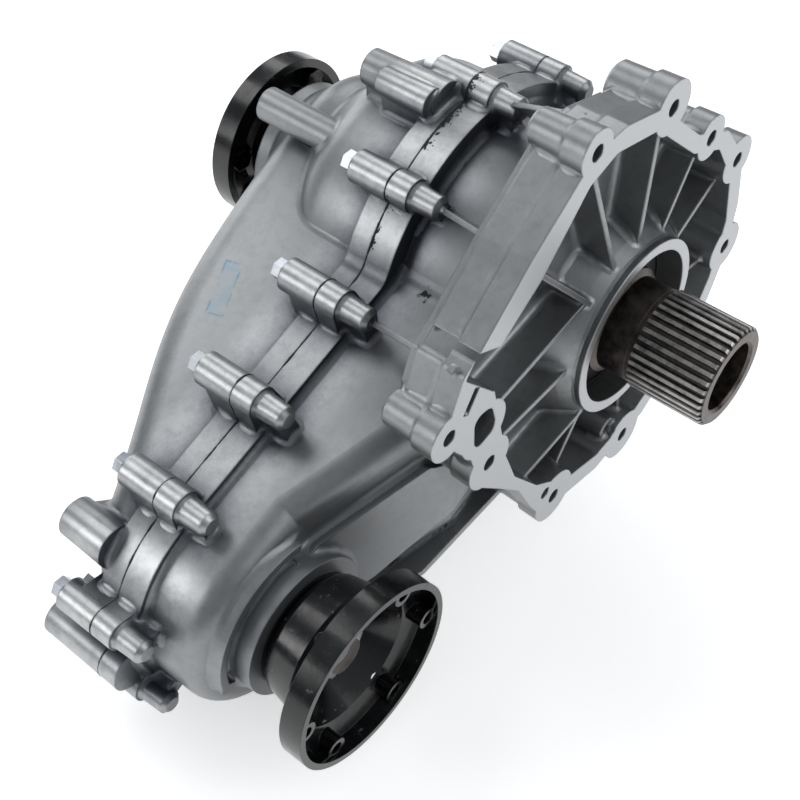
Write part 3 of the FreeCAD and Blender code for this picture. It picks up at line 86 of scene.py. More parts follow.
camera_data = bpy.data.cameras.new("camera")
camera_data.sensor_width = SENSOR_MM
camera_data.lens = SENSOR_MM * FOCAL_PX / IMAGE_PX
camera_data.clip_end = SEES_AS_FAR_AS_M
camera = bpy.data.objects.new("camera", camera_data)
camera.location = Vector(CAMERA_MM) * MM
look = (Vector(AIM_MM) - Vector(CAMERA_MM)).to_track_quat("-Z", "Y")
camera.rotation_euler = look.to_euler()
bpy.context.scene.collection.objects.link(camera)
bpy.context.scene.camera = camera
bpy.context.scene.view_settings.view_transform = "Standard"
print("lens in mm:", round(camera_data.lens, 2))

# %% [markdown]
# Colours are written as the hex values a picture editor shows. Blender's sockets take linear light,
# so one function turns each one. A second function adds a shader node with its settings and links.
# A dict names the sockets that it fills, and a tuple fills them from the first one on.

# %% Colours and nodes
def colour(hex_value):
    """Linear colour of an sRGB hex value such as "#8A8C90"."""
    parts = [int(hex_value[i:i + 2], 16) / 255.0 for i in (1, 3, 5)]
    return [p / 12.92 if p <= 0.04045 else ((p + 0.055) / 1.055) ** 2.4 for p in parts] + [1.0]


def add(tree, kind, inputs=(), output=0, **settings):
    """New node of that kind. Its inputs are values or other nodes' outputs. Gives one output."""
    node = tree.nodes.new(kind)
    for name, value in settings.items():
        setattr(node, name, value)
    filled = inputs.items() if isinstance(inputs, dict) else enumerate(inputs)
    for socket, value in filled:
        if isinstance(value, bpy.types.NodeSocket):
            tree.links.new(value, node.inputs[socket])
        else:
            node.inputs[socket].default_value = value
    return node.outputs[output] if node.outputs else None


print("linear middle grey:", round(colour("#808080")[0], 3))

# %% [markdown]
# A finish is built like paint on a wall: a ground colour, then layers that only show where their mask
# is bright. The masks come from noise, from places on the part or from how deep a hollow is. Noise
# could be scaled by eye, but a size in millimetres says what it stands for on the real part.

# %% Materials in layers
MIX_FACTOR, MIX_UNDER, MIX_OVER, MIX_COLOUR = 0, 6, 7, 2  # sockets of the Mix node for colours


def new_material(name):
    """Empty material, its tree, and a place in metres to hang patterns on."""
    material = bpy.data.materials.new(name)
    material.use_nodes = True
    tree = material.node_tree
    tree.nodes.clear()
    return material, tree, add(tree, "ShaderNodeTexCoord", output="Object")


def layered(tree, ground, *layers):
    """Colour of a ground with layers on it, each a mask and the colour that it brings."""
    skin = colour(ground)
    for mask, hex_value in layers:
        skin = add(tree, "ShaderNodeMix", {MIX_FACTOR: mask, MIX_UNDER: skin,
                                           MIX_OVER: colour(hex_value)}, MIX_COLOUR, data_type="RGBA")
    return skin


def lumps_of(size_mm, detail=3.0, roughness=0.55):
    """Values for fractal noise whose lumps are that many millimetres wide."""
    return {"Scale": 1.0 / (size_mm * MM), "Detail": detail, "Roughness": roughness}


def dress(tree, look):
    """Ends a material with its shader, which takes these values and outputs."""
    shader = add(tree, "ShaderNodeBsdfPrincipled", look)
    add(tree, "ShaderNodeOutputMaterial", {"Surface": shader})


print("noise scale for 1 mm lumps:", lumps_of(1.0)["Scale"])

# %% [markdown]
# Edges: no real part ends in a razor edge. A casting's corners are rounded by its mould and a turned
# part's are broken with a tool. Rounding every edge of the mesh would multiply its faces, so the
# Bevel node bends the shading across each edge over a given radius, which catches the same glint.

# %% Edge rounding and bumps
SHADING_RAYS = 6


def rounded_and_bumpy(tree, height, depth_mm, strength, edge_mm):
    """Shading direction with rounded edges and a bump of that depth on top."""
    edge = add(tree, "ShaderNodeBevel", {"Radius": edge_mm * MM}, samples=SHADING_RAYS)
    return add(tree, "ShaderNodeBump", {"Strength": strength, "Distance": depth_mm * MM,
                                        "Height": height, "Normal": edge})


print("rays for each rounded edge:", SHADING_RAYS)

# %% [markdown]
# The rear cover carries a blue inspection mark, brushed on with thin paint and washed out by oil. It
# could be a decal on its own little sheet, but paint has no thickness here, so it is two layers of
# the cover's skin: a patchy film inside a rectangle and a darker, broken line along its rim, where
# the paint dried thicker. The rectangle is measured along its own two directions on the sloping wall.

# %% Faded blue mark
MARK_MM = (-127.4, 169.7, 17.7)
MARK_LONG_WAY = (0.915, 0.251, 0.313)
MARK_SHORT_WAY = (0.339, -0.933, 0.119)
MARK_LONG_MM = 32.0
MARK_SHORT_MM = 10.5
MARK_RIM_MM = 0.8
MARK_WEAR_MM = 5.0


def rectangle(tree, sides, rim_mm, soft_mm):
    """Mask that is 1 inside the mark, but for a rim of that width."""
    masks = []
    for side, size in zip(sides, (MARK_LONG_MM, MARK_SHORT_MM)):
        edge = size / 2 - rim_mm
        masks.append(add(tree, "ShaderNodeMapRange",
                         (side, (edge - soft_mm) * MM, (edge + soft_mm) * MM, 1.0, 0.0)))
    return add(tree, "ShaderNodeMath", masks, operation="MULTIPLY")


def faded_mark(tree, place):
    """Layers of the washed-out mark."""
    centre = tuple(c * MM for c in MARK_MM)
    offset = add(tree, "ShaderNodeVectorMath", (place, centre), operation="SUBTRACT")
    along = [add(tree, "ShaderNodeVectorMath", (offset, way), "Value", operation="DOT_PRODUCT")
             for way in (MARK_LONG_WAY, MARK_SHORT_WAY)]
    sides = [add(tree, "ShaderNodeMath", (reach,), operation="ABSOLUTE") for reach in along]
    inside = rectangle(tree, sides, 0.0, 0.5)
    core = rectangle(tree, sides, MARK_RIM_MM, 0.4)
    rim = add(tree, "ShaderNodeMath", (inside, core), operation="SUBTRACT")
    worn = add(tree, "ShaderNodeTexNoise", {"Vector": place, **lumps_of(MARK_WEAR_MM, 4.0, 0.6)})
    patchy = add(tree, "ShaderNodeMapRange", (worn, 0.4, 0.65, 0.02, 0.4))
    broken = add(tree, "ShaderNodeMapRange", (worn, 0.42, 0.6, 0.0, 0.6))
    film = add(tree, "ShaderNodeMath", (inside, patchy), operation="MULTIPLY")
    line = add(tree, "ShaderNodeMath", (rim, broken), operation="MULTIPLY")
    return [(film, "#6F93AB"), (line, "#3F6B80")]


print("mark in mm:", MARK_LONG_MM, "by", MARK_SHORT_MM)

# %% [markdown]
# On the front half a greasy hand left one black smudge. Its outline is torn, because grease catches
# on the grain. A ball-shaped mask gives the spot, and noise added to the distance tears its edge.

# %% Grease smudge
SMUDGE_MM = (-79.3, 76.4, 34.4)
SMUDGE_RADIUS_MM = 2.2
SMUDGE_SOFT_MM = 1.0
SMUDGE_TEAR_MM = 2.6
SMUDGE_TEAR_SIZE_MM = 3.0


def grease_smudge(tree, place):
    """Mask of the smudge."""
    centre = tuple(c * MM for c in SMUDGE_MM)
    away = add(tree, "ShaderNodeVectorMath", (place, centre), "Value", operation="DISTANCE")
    tear = add(tree, "ShaderNodeTexNoise", {"Vector": place, **lumps_of(SMUDGE_TEAR_SIZE_MM)})
    torn = add(tree, "ShaderNodeMapRange", (tear, 0.3, 0.7, -SMUDGE_TEAR_MM * MM, SMUDGE_TEAR_MM * MM))
    reach = add(tree, "ShaderNodeMath", (away, torn), operation="ADD")
    return add(tree, "ShaderNodeMapRange", (reach, (SMUDGE_RADIUS_MM - SMUDGE_SOFT_MM) * MM,
                                            (SMUDGE_RADIUS_MM + SMUDGE_SOFT_MM) * MM, 1.0, 0.0))


print("smudge radius in mm:", SMUDGE_RADIUS_MM)

# %% [markdown]
# Both halves of the case are die-cast aluminium. Molten metal is pressed into a steel mould, and
# leaves a silvery skin with a fine grain and soft cloudy flow marks. It is bare metal, so the
# shader is metallic with a satin roughness that varies from cloud to cloud. Near the seam the skin
# is brightest; further off it is rubbed and duller. The flat that meets the gearbox is milled. The
# deep hollows get painted shade: a dark blue-grey in the colour and less metal, placed by the
# Ambient Occlusion node, which looks at the walls around each spot, because painting each hollow
# by hand would miss some.

# %% Die-cast aluminium
GRAIN_MM = 0.9  # real grain is about 0.2 mm; drawn coarser so that it shows
FLOW_MM = 6.0
CLOUD_MM = 22.0
PAINTED_SHADE_REACH_MM = 55.0
BELL_FLOOR_MM, DRUM_MM = 24.0, 48.0  # hollows in front of the bell's floor stay paler
PARTING_MM = 110.0
RUBBED_FROM_MM, RUBBED_TO_MM = 26.0, 40.0
MILLED_MM = 0.35
MILLED_ROUGHNESS = 0.42


def die_cast_aluminium(name, front):
    """Cast skin of the front half with its milled flat and smudge, or of the rear with its mark."""
    material, tree, place = new_material(name)
    depth = add(tree, "ShaderNodeSeparateXYZ", (place,), "Y")
    grain = add(tree, "ShaderNodeTexNoise", {"Vector": place, **lumps_of(GRAIN_MM, 4.0)})
    flow = add(tree, "ShaderNodeTexNoise", {"Vector": place, **lumps_of(FLOW_MM, 3.0, 0.7)})
    cloud = add(tree, "ShaderNodeTexNoise", {"Vector": place, **lumps_of(CLOUD_MM, 5.0, 0.6)})
    pale = add(tree, "ShaderNodeMapRange", (cloud, 0.35, 0.7, 0.0, 1.0))
    streaks = add(tree, "ShaderNodeMapRange", (flow, 0.45, 0.75, 0.0, 0.45))

    # Painted shade: where the AO node finds walls near a spot, a dark blue-grey is mixed into the
    # colour and the metal is lowered. It is weak in front of the bell's floor and full from the drum
    # back.
    open_sky = add(tree, "ShaderNodeAmbientOcclusion", {"Distance": PAINTED_SHADE_REACH_MM * MM}, "AO",
                   samples=SHADING_RAYS)
    painted_shade = add(tree, "ShaderNodeMapRange", (open_sky, 0.6, 0.98, 0.95, 0.0))
    behind = add(tree, "ShaderNodeMapRange", (depth, BELL_FLOOR_MM * MM, DRUM_MM * MM, 0.12, 1.0))
    painted_shade = add(tree, "ShaderNodeMath", (painted_shade, behind), operation="MULTIPLY")

    offset = add(tree, "ShaderNodeMath", (depth, PARTING_MM * MM), operation="SUBTRACT")
    seam = add(tree, "ShaderNodeMath", (offset,), operation="ABSOLUTE")
    rubbed = add(tree, "ShaderNodeMapRange", (seam, RUBBED_FROM_MM * MM, RUBBED_TO_MM * MM, 0.0, 0.6))
    # the dark blue-grey layer is the painted shade in the hollows
    layers = [(pale, "#BEC0C0"), (streaks, "#7D8084"), (painted_shade, "#3A3F48"), (rubbed, "#7E8183")]

    satin = add(tree, "ShaderNodeMapRange", (cloud, 0.3, 0.75, 0.34, 0.41))
    duller = add(tree, "ShaderNodeMapRange", (rubbed, 0.0, 0.6, 0.0, 0.05))
    rough = add(tree, "ShaderNodeMath", (satin, duller), operation="ADD")
    if front:
        milled = add(tree, "ShaderNodeMath", (depth, 0.0, MILLED_MM * MM), operation="COMPARE")
        rough = add(tree, "ShaderNodeMix", {"Factor": milled, 2: rough, 3: MILLED_ROUGHNESS})
        layers += [(milled, "#B6B8BA"), (grease_smudge(tree, place), "#15171B")]
    else:
        layers += faded_mark(tree, place)

    fine = add(tree, "ShaderNodeMath", (grain, 0.5), operation="MULTIPLY")
    height = add(tree, "ShaderNodeMath", (fine, flow), operation="ADD")
    dress(tree, {"Base Color": layered(tree, "#A9ABAC", *layers), "Roughness": rough,
                 "Metallic": add(tree, "ShaderNodeMapRange", (painted_shade, 0.0, 0.75, 0.95, 0.6)),
                 "Normal": rounded_and_bumpy(tree, height, 0.1, 0.4, 1.3)})
    return material


case_finish = die_cast_aluminium("die_cast_aluminium_front", True)
cover_finish = die_cast_aluminium("die_cast_aluminium_rear", False)
print("cast finishes:", case_finish.name, cover_finish.name)

# %% [markdown]
# Inside and around the castings are steels that differ in how they were made. All are bare metals, so
# they share one recipe: colour and roughness that drift together over lumps of a given size. Separate
# recipes could be written, but the eye tells these steels apart by tone, gloss and lump size alone.

# %% Steels and bronze
def plain_metal(name, dark, bright, rough_low, rough_high, size_mm, edge_mm=0.25):
    """Metal whose colour and roughness drift between two values over lumps of size_mm."""
    material, tree, place = new_material(name)
    lumps = add(tree, "ShaderNodeTexNoise", {"Vector": place, **lumps_of(size_mm, 4.0)})
    drift = add(tree, "ShaderNodeMapRange", (lumps, 0.35, 0.65, 0.0, 1.0))
    dress(tree, {"Base Color": layered(tree, dark, (drift, bright)), "Metallic": 1.0,
                 "Roughness": add(tree, "ShaderNodeMapRange", (lumps, 0.3, 0.7, rough_low, rough_high)),
                 "Normal": rounded_and_bumpy(tree, lumps, 0.04, 0.4, edge_mm)})
    return material


# a thin coat of zinc, softly shining: silvery grey with a faint blue tint
zinc_plated_steel = plain_metal("zinc_plated_steel", "#A4A9B1", "#C6C9CE", 0.27, 0.38, 9.0, 0.4)
# ground with a stone: bright, with narrow glints
ground_bearing_steel = plain_metal("ground_bearing_steel", "#9A9B9D", "#BFC0C2", 0.16, 0.28, 5.0)
# dipped in phosphate: charcoal and dull
phosphated_spring_steel = plain_metal("phosphated_spring_steel", "#26272A", "#3A3B3E", 0.4, 0.55, 2.0)
# oil on punched links: dark brown with wet glints
oiled_chain_steel = plain_metal("oiled_chain_steel", "#3E3B38", "#5C5752", 0.22, 0.4, 3.0)
# cut by a hob and hardened: mid grey with a satin sheen
hobbed_gear_steel = plain_metal("hobbed_gear_steel", "#5A5856", "#7D7A77", 0.25, 0.4, 2.5)
# pressed powder soaked in oil: warm brown and matt
sintered_bronze = plain_metal("sintered_bronze", "#8A6A3C", "#B08D57", 0.35, 0.5, 1.5)
# wet grease over black bolts: nearly black with small sharp glints
greased_black_steel = plain_metal("greased_black_steel", "#1B1A1B", "#3A3735", 0.12, 0.34, 2.5, 0.4)
print("steel finishes:", sum("steel" in m.name for m in bpy.data.materials))

# %% [markdown]
# The input stub is forged steel, blackened brown by heat treatment, with teeth ground bright where
# they slide in the gearbox. Two materials could be given to two sets of faces, but wear has no
# border: it grows with the distance from the shaft's axis, so the shader mixes both by radius.

# %% Splined shaft
TOOTH_ROOT_MM = 26.5
TOOTH_TIP_MM = 27.5
TEETH_START_MM = -12.5
HEAT_PATCH_MM = 6.0
GRINDING_MM = 0.7


def blackened_shaft_steel():
    """Brown-black shaft whose tooth tips are worn bright."""
    material, tree, place = new_material("blackened_shaft_steel")
    flat = add(tree, "ShaderNodeVectorMath", (place, (1.0, 0.0, 1.0)), operation="MULTIPLY")
    radius = add(tree, "ShaderNodeVectorMath", (flat,), "Value", operation="LENGTH")
    depth = add(tree, "ShaderNodeSeparateXYZ", (place,), "Y")
    toothed = add(tree, "ShaderNodeMath", (depth, TEETH_START_MM * MM), operation="LESS_THAN")
    tips = add(tree, "ShaderNodeMapRange", (radius, TOOTH_ROOT_MM * MM, TOOTH_TIP_MM * MM, 0.0, 1.0))
    tips = add(tree, "ShaderNodeMath", (tips, toothed), operation="MULTIPLY")
    patch = add(tree, "ShaderNodeTexNoise", {"Vector": place, **lumps_of(HEAT_PATCH_MM, 5.0, 0.65)})
    fine = add(tree, "ShaderNodeTexNoise", {"Vector": place, **lumps_of(GRINDING_MM)})
    brown = add(tree, "ShaderNodeMapRange", (patch, 0.35, 0.7, 0.0, 1.0))
    rubs = add(tree, "ShaderNodeMapRange", (patch, 0.3, 0.55, 0.35, 1.0))
    worn = add(tree, "ShaderNodeMath", (tips, rubs), operation="MULTIPLY")
    dress(tree, {"Base Color": layered(tree, "#4C4643", (brown, "#6E6762"), (worn, "#C9C7C4")),
                 "Roughness": add(tree, "ShaderNodeMapRange", (patch, 0.3, 0.7, 0.28, 0.5)),
                 "Metallic": 1.0, "Normal": rounded_and_bumpy(tree, fine, 0.05, 0.5, 0.25)})
    return material


shaft_finish = blackened_shaft_steel()
print("shaft finish:", shaft_finish.name)

# %% [markdown]
# Both flanges are painted gloss black over rough steel. Paint is a clear-coated dielectric: its
# colour is nearly black and what the eye reads is the glint. Handling leaves grey rubs on the raised
# bands and chips along the rim, so noise cuts small windows that show bare metal.

# %% Gloss black paint
RUB_MM = 9.0
CHIP_MM = 2.2
ORANGE_PEEL_MM = 1.6
PAINT_IOR = 1.5


def gloss_black_paint():
    """Sprayed gloss black, rubbed and chipped."""
    material, tree, place = new_material("gloss_black_paint")
    rub = add(tree, "ShaderNodeTexNoise", {"Vector": place, **lumps_of(RUB_MM, 6.0, 0.7)})
    chips = add(tree, "ShaderNodeTexNoise", {"Vector": place, **lumps_of(CHIP_MM, 4.0, 0.7)})
    orange_peel = add(tree, "ShaderNodeTexNoise", {"Vector": place, **lumps_of(ORANGE_PEEL_MM, 2.0)})
    greyed = add(tree, "ShaderNodeMapRange", (rub, 0.4, 0.7, 0.0, 0.6))
    rubbed = add(tree, "ShaderNodeMapRange", (rub, 0.6, 0.68, 0.0, 1.0))
    chipped = add(tree, "ShaderNodeMapRange", (chips, 0.56, 0.62, 0.0, 1.0))
    bare = add(tree, "ShaderNodeMath", (rubbed, chipped), operation="MULTIPLY")
    dress(tree, {"Base Color": layered(tree, "#08090B", (greyed, "#101215"), (bare, "#77787C")),
                 "Roughness": add(tree, "ShaderNodeMapRange", (rub, 0.35, 0.7, 0.14, 0.3)),
                 "IOR": PAINT_IOR, "Coat Weight": 0.1, "Coat Roughness": 0.12,
                 "Normal": rounded_and_bumpy(tree, orange_peel, 0.06, 0.5, 0.5)})
    return material


flange_finish = gloss_black_paint()
print("flange finish:", flange_finish.name)

# %% [markdown]
# Seals are nitrile rubber moulded on a steel ring, dark and dull. The sealant between the halves is
# black silicone that was squeezed out while wet, and it cured with a soft sheen. Both are soft
# plastics, so one recipe without metal serves, and only their tone and roughness differ.

# %% Rubber and sealant
ELASTOMER_IOR = 1.5


def dark_elastomer(name, shade, rough_low, rough_high, size_mm):
    """Dark rubber with lumps of that size."""
    material, tree, place = new_material(name)
    lumps = add(tree, "ShaderNodeTexNoise", {"Vector": place, **lumps_of(size_mm)})
    dusty = add(tree, "ShaderNodeMapRange", (lumps, 0.3, 0.7, 0.0, 1.0))
    dress(tree, {"Base Color": layered(tree, shade, (dusty, "#2E2A28")), "IOR": ELASTOMER_IOR,
                 "Roughness": add(tree, "ShaderNodeMapRange", (lumps, 0.3, 0.7, rough_low, rough_high)),
                 "Normal": rounded_and_bumpy(tree, lumps, 0.1, 0.5, 0.3)})
    return material


# moulded and dusty: a dull brown-black
nitrile_rubber = dark_elastomer("nitrile_rubber", "#141211", 0.45, 0.65, 1.5)
# cured in the open: black with a soft sheen
black_silicone = dark_elastomer("black_silicone", "#0C0C0E", 0.3, 0.5, 2.0)
print("elastomers:", nitrile_rubber.name, black_silicone.name)

# %% [markdown]
# Every loaded part now takes its finish. The parts carry the name of their material slot, so a table
# of slot to finish is enough. Two parts differ from their slot: the rear cover has the blue mark, and
# the bolts in the rear flange are black with grease.

# %% Give each part its finish
FINISH = {
    "cast_aluminium": case_finish, "sealant": black_silicone, "zinc_steel": zinc_plated_steel,
    "seal_rubber": nitrile_rubber, "bearing_steel": ground_bearing_steel,
    "spring_steel": phosphated_spring_steel, "chain_steel": oiled_chain_steel,
    "gear_steel": hobbed_gear_steel, "shaft_steel": shaft_finish, "black_paint": flange_finish,
    "bronze": sintered_bronze,
}
OWN_FINISH = {"rear_cover": cover_finish, "rear_flange_bolts": greased_black_steel}
slot_of = {row["node"]: row["material_slot"] for row in frame["record"]["subparts"]}
for name, part in nodes.items():
    part.data.materials.clear()
    part.data.materials.append(OWN_FINISH.get(name, FINISH[slot_of[name]]))
print("finished parts:", len(nodes))


# %% [markdown]
# Pieces made here ride on the housing like the castings they belong to. One function turns corners
# and faces into such a piece, smooth-shaded because cast metal and glue have no facets.

# %% A piece on the housing
def housing_piece(name, corners, faces, finish):
    """Smooth piece of the housing from its corners and faces."""
    mesh = bpy.data.meshes.new(name)
    mesh.from_pydata(corners, [], faces)
    mesh.shade_smooth()
    piece = bpy.data.objects.new(name, mesh)
    bpy.context.scene.collection.objects.link(piece)
    piece.data.materials.append(finish)
    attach(piece, "housing")
    print(name, "faces:", len(faces))
    return piece


print("ready to make pieces on: housing")

# %% [markdown]
# Where two walls of a casting meet, the mould leaves a soft fillet, because metal won't fill a sharp
# inner corner. The loaded parts have clean corners. Rounding each one by hand would take hundreds of
# edges, so the whole casting is turned into small voxels and smoothed, which lets every inner corner
# fill up by itself. Only the skin that now stands proud of the casting is kept, as a thin piece that
# lies in the corners. Holes that must stay open, and the closed inner room, are left alone.

# %% Melt a casting
VOXEL_MM = 1.25
MELT_PASSES = 30
MELT_STRENGTH = 0.5


def melted(part):
    """Mesh of the part as smoothed voxels."""
    body = part.copy()
    body.data = part.data.copy()
    bpy.context.scene.collection.objects.link(body)
    voxels = body.modifiers.new("voxels", "REMESH")
    voxels.mode = "VOXEL"
    voxels.voxel_size = VOXEL_MM * MM
    melt = body.modifiers.new("melt", "SMOOTH")
    melt.factor = MELT_STRENGTH
    melt.iterations = MELT_PASSES
    mesh = bpy.data.meshes.new_from_object(body.evaluated_get(bpy.context.evaluated_depsgraph_get()))
    bpy.data.objects.remove(body)
    return mesh


print("voxels in mm:", VOXEL_MM)

# %% [markdown]
# A spot on the skin is outside when rays that start just above it get away. Blender has no tool that
# names the closed rooms of a mesh, so rays are sent in evenly spread directions through all parts.

# %% Tell the outside from the closed inner room
SKY_RAYS = 24
OPEN_RAYS = 2
RAY_START_MM = 2.0


def sphere_directions(count):
    """Directions spread evenly over a sphere along a golden spiral."""
    turn = math.pi * (3.0 - math.sqrt(5.0))
    rows = []
    for i in range(count):
        rise = 1.0 - 2.0 * (i + 0.5) / count
        flat = math.sqrt(1.0 - rise * rise)
        rows.append(Vector((flat * math.cos(i * turn), flat * math.sin(i * turn), rise)))
    return rows


def all_parts_tree():
    """Search tree of every loaded part."""
    corners, faces = [], []
    for part in nodes.values():
        first = len(corners)
        corners.extend(v.co.copy() for v in part.data.vertices)
        faces.extend(tuple(first + i for i in f.vertices) for f in part.data.polygons)
    return BVHTree.FromPolygons(corners, faces)


def outside(start):
    """True where enough rays leave the transfer case."""
    free = 0
    for ray in sky:
        free += everything.ray_cast(start, ray)[0] is None
        if free >= OPEN_RAYS:
            return True
    return False


sky = sphere_directions(SKY_RAYS)
everything = all_parts_tree()
print("rays for each spot:", len(sky))

# %% Holes that have to stay open
HOLE_MARGIN_MM = 2.5
HOLE_ENDS_MM = 4.0

open_holes = []
for mount in frame["record"]["mounts"]:
    if mount["kind"] == "threaded_hole":
        x, y, z = mount["pos_m"]
        reach = (mount["dims"]["length_mm"] + HOLE_ENDS_MM) * MM
        open_holes.append((x, z, (mount["dims"]["r_mm"] + HOLE_MARGIN_MM) * MM, y - reach, y + reach))


def kept_clear(point, holes):
    """True inside a hole (x, z, radius, first y, last y) that has to stay open."""
    return any(first <= point.y <= last and math.hypot(point.x - x, point.z - z) < radius
               for x, z, radius, first, last in holes)


print("open holes:", len(open_holes))

# %% Cast fillets
PROUD_MM = 0.16
SINK_MM = 0.12


def height_over(surface, point):
    """Nearest spot of the casting, its direction there, and how far the point stands over it."""
    hit, normal, face, gap = surface.find_nearest(point)
    return hit, normal, gap if (point - hit).dot(normal) > 0 else -gap


def cast_fillets(part, finish, holes):
    """Thin piece with the fillets of one casting, whose rim is sunk into the casting's wall."""
    mesh = melted(part)
    surface = BVHTree.FromObject(part, bpy.context.evaluated_depsgraph_get())
    feet = [height_over(surface, vertex.co) for vertex in mesh.vertices]
    proud = {vertex.index for vertex, (hit, normal, height) in zip(mesh.vertices, feet)
             if height > PROUD_MM * MM and not kept_clear(vertex.co, holes)
             and outside(vertex.co + normal * RAY_START_MM * MM)}
    faces = [tuple(f.vertices) for f in mesh.polygons if any(v in proud for v in f.vertices)]
    used = sorted({v for f in faces for v in f})
    order = {v: i for i, v in enumerate(used)}
    points = []
    for v in used:
        hit, normal, height = feet[v]
        if v in proud:
            points.append(mesh.vertices[v].co - mesh.vertices[v].normal * SINK_MM * MM)
        else:
            points.append(hit - normal * SINK_MM * MM)
    faces = [tuple(order[v] for v in f) for f in faces]
    return housing_piece(part.name + "_fillets", points, faces, finish)


cast_fillets(nodes["front_case"], case_finish, open_holes)
cast_fillets(nodes["rear_cover"], cover_finish, [])

# %% [markdown]
# The halves are glued with black silicone, and tightening the bolts presses some of it out. It forms a
# thread of uneven width, almost nothing at the bolts, and ragged crumbs where the glue was thick. The
# loaded part is an even band, so this piece stands in for it: a tube that follows the casting's own
# outline, whose width wanders with smooth noise, plus flattened crumbs stuck to the wall.

# %% Line of the seam
THREAD_STEP_MM = 0.8
WELDS_PER_M = 20000
FLAT_WITHIN_MM = 0.2


def outline_at_the_seam(part, depth):
    """Corner points of the longest loop that bounds the part's flat face at that depth."""
    mesh = part.data
    weld = {}
    spot = []
    for vertex in mesh.vertices:
        key = tuple(round(c * WELDS_PER_M) for c in vertex.co)
        weld.setdefault(key, len(weld))
        spot.append(weld[key])
    place = {spot[v.index]: v.co.copy() for v in mesh.vertices}
    edges = {}
    for face in mesh.polygons:
        if face.normal.y > 0.99 and abs(face.center.y - depth) < FLAT_WITHIN_MM * MM:
            ring = [spot[i] for i in face.vertices]
            for a, b in zip(ring, ring[1:] + ring[:1]):
                edges[(a, b)] = True
    follow = {a: b for a, b in edges if (b, a) not in edges}
    best, best_span = [], 0.0
    while follow:
        loop = [next(iter(follow))]
        step = follow.pop(loop[0])
        while step in follow:
            loop.append(step)
            step = follow.pop(step)
        points = [place[i] for i in loop]
        span = max(p.x for p in points) - min(p.x for p in points)
        if not best or span > best_span:
            best, best_span = points, span
    return best


def even_steps(points, step):
    """Points at even steps along a closed line."""
    rows = []
    left = 0.0
    for a, b in zip(points, points[1:] + points[:1]):
        length = (b - a).length
        while left < length:
            rows.append(a.lerp(b, left / length))
            left += step
        left -= length
    return rows


parting_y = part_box("front_case")[1].y
seam_line = even_steps(outline_at_the_seam(nodes["front_case"], parting_y), THREAD_STEP_MM * MM)
print("steps along the seam:", len(seam_line))

# %% Thread of sealant
THREAD_SIDES = 8
THREAD_THIN_MM = 0.12
THREAD_THICK_MM = 0.75
THREAD_LIMIT_MM = 1.1
THREAD_WANDER_MM = 7.0
THREAD_RIPPLE_MM = 1.7
THREAD_LUMPS_MM = 1.1
THREAD_FLAT = 0.7
RAGGED_SPOTS = (((-12.0, 110.0, 99.0), 15.0, 90), ((-31.0, 110.0, 84.0), 11.0, 30),
                ((-70.0, 110.0, 70.0), 6.0, 10), ((-78.0, 110.0, 53.0), 7.0, 16),
                ((-106.0, 110.0, -2.0), 8.0, 12))  # place, reach and number of crumbs
REARWARD = Vector((0.0, 1.0, 0.0))


def thread_radius(point):
    """Radius of the sealant thread at a point, from smooth noise and the ragged spots."""
    wave = smooth_noise.noise(point / (THREAD_WANDER_MM * MM))
    fine = smooth_noise.noise(point / (THREAD_RIPPLE_MM * MM))
    swell = max(0.0, 0.3 + 0.9 * wave + 0.35 * fine)
    radius = THREAD_THIN_MM + (THREAD_THICK_MM - THREAD_THIN_MM) * swell
    for spot, reach, crumbs in RAGGED_SPOTS:
        if (point - Vector(spot) * MM).length < reach * MM:
            radius = max(radius, 0.5 + 0.45 * abs(fine) + 0.2 * wave)
    return min(radius, THREAD_LIMIT_MM) * MM


def thread(points):
    """Corners and faces of the flattened, lumpy tube along the seam."""
    corners, faces = [], []
    count = len(points)
    for i, point in enumerate(points):
        ahead = (points[(i + 2) % count] - points[i - 2]).normalized()
        out = ahead.cross(REARWARD).normalized()
        radius = thread_radius(point)
        for k in range(THREAD_SIDES):
            angle = 2 * math.pi * k / THREAD_SIDES
            wide = 1.0 + 0.35 * smooth_noise.noise(point / (THREAD_LUMPS_MM * MM) + Vector((k, 0, 0)))
            corners.append(point + out * radius * THREAD_FLAT * math.cos(angle)
                           + REARWARD * radius * wide * math.sin(angle))
        shift = THREAD_SIDES if i + 1 < count else THREAD_SIDES - count * THREAD_SIDES
        for k in range(THREAD_SIDES):
            a = i * THREAD_SIDES + k
            b = i * THREAD_SIDES + (k + 1) % THREAD_SIDES
            faces.append((a, b, b + shift, a + shift))
    return corners, faces


thread_corners, thread_faces = thread(seam_line)
print("faces of the thread:", len(thread_faces))

# %% [markdown]
# A crumb of sealant is a flat scrap on the wall. A particle system could scatter them, but it would
# leave copies behind that don't export, so each crumb is a small six-sided dish that is laid on the
# wall's nearest spot. The dice are seeded, so the crumbs fall the same way each time.

# %% Crumbs of sealant
DICE_SEED = 12
CRUMB_SIDES = 6
CRUMB_MM = (0.25, 0.7)
CRUMB_LENGTHS = (1.0, 2.6)
CRUMB_SPREAD_MM = 2.2
CRUMB_ASIDE_MM = 0.6
CRUMB_NEAR_MM = 2.0
CRUMB_FAR_SIZE = 0.6
CRUMB_SINK_MM = 0.1
CRUMB_TOP = 0.6


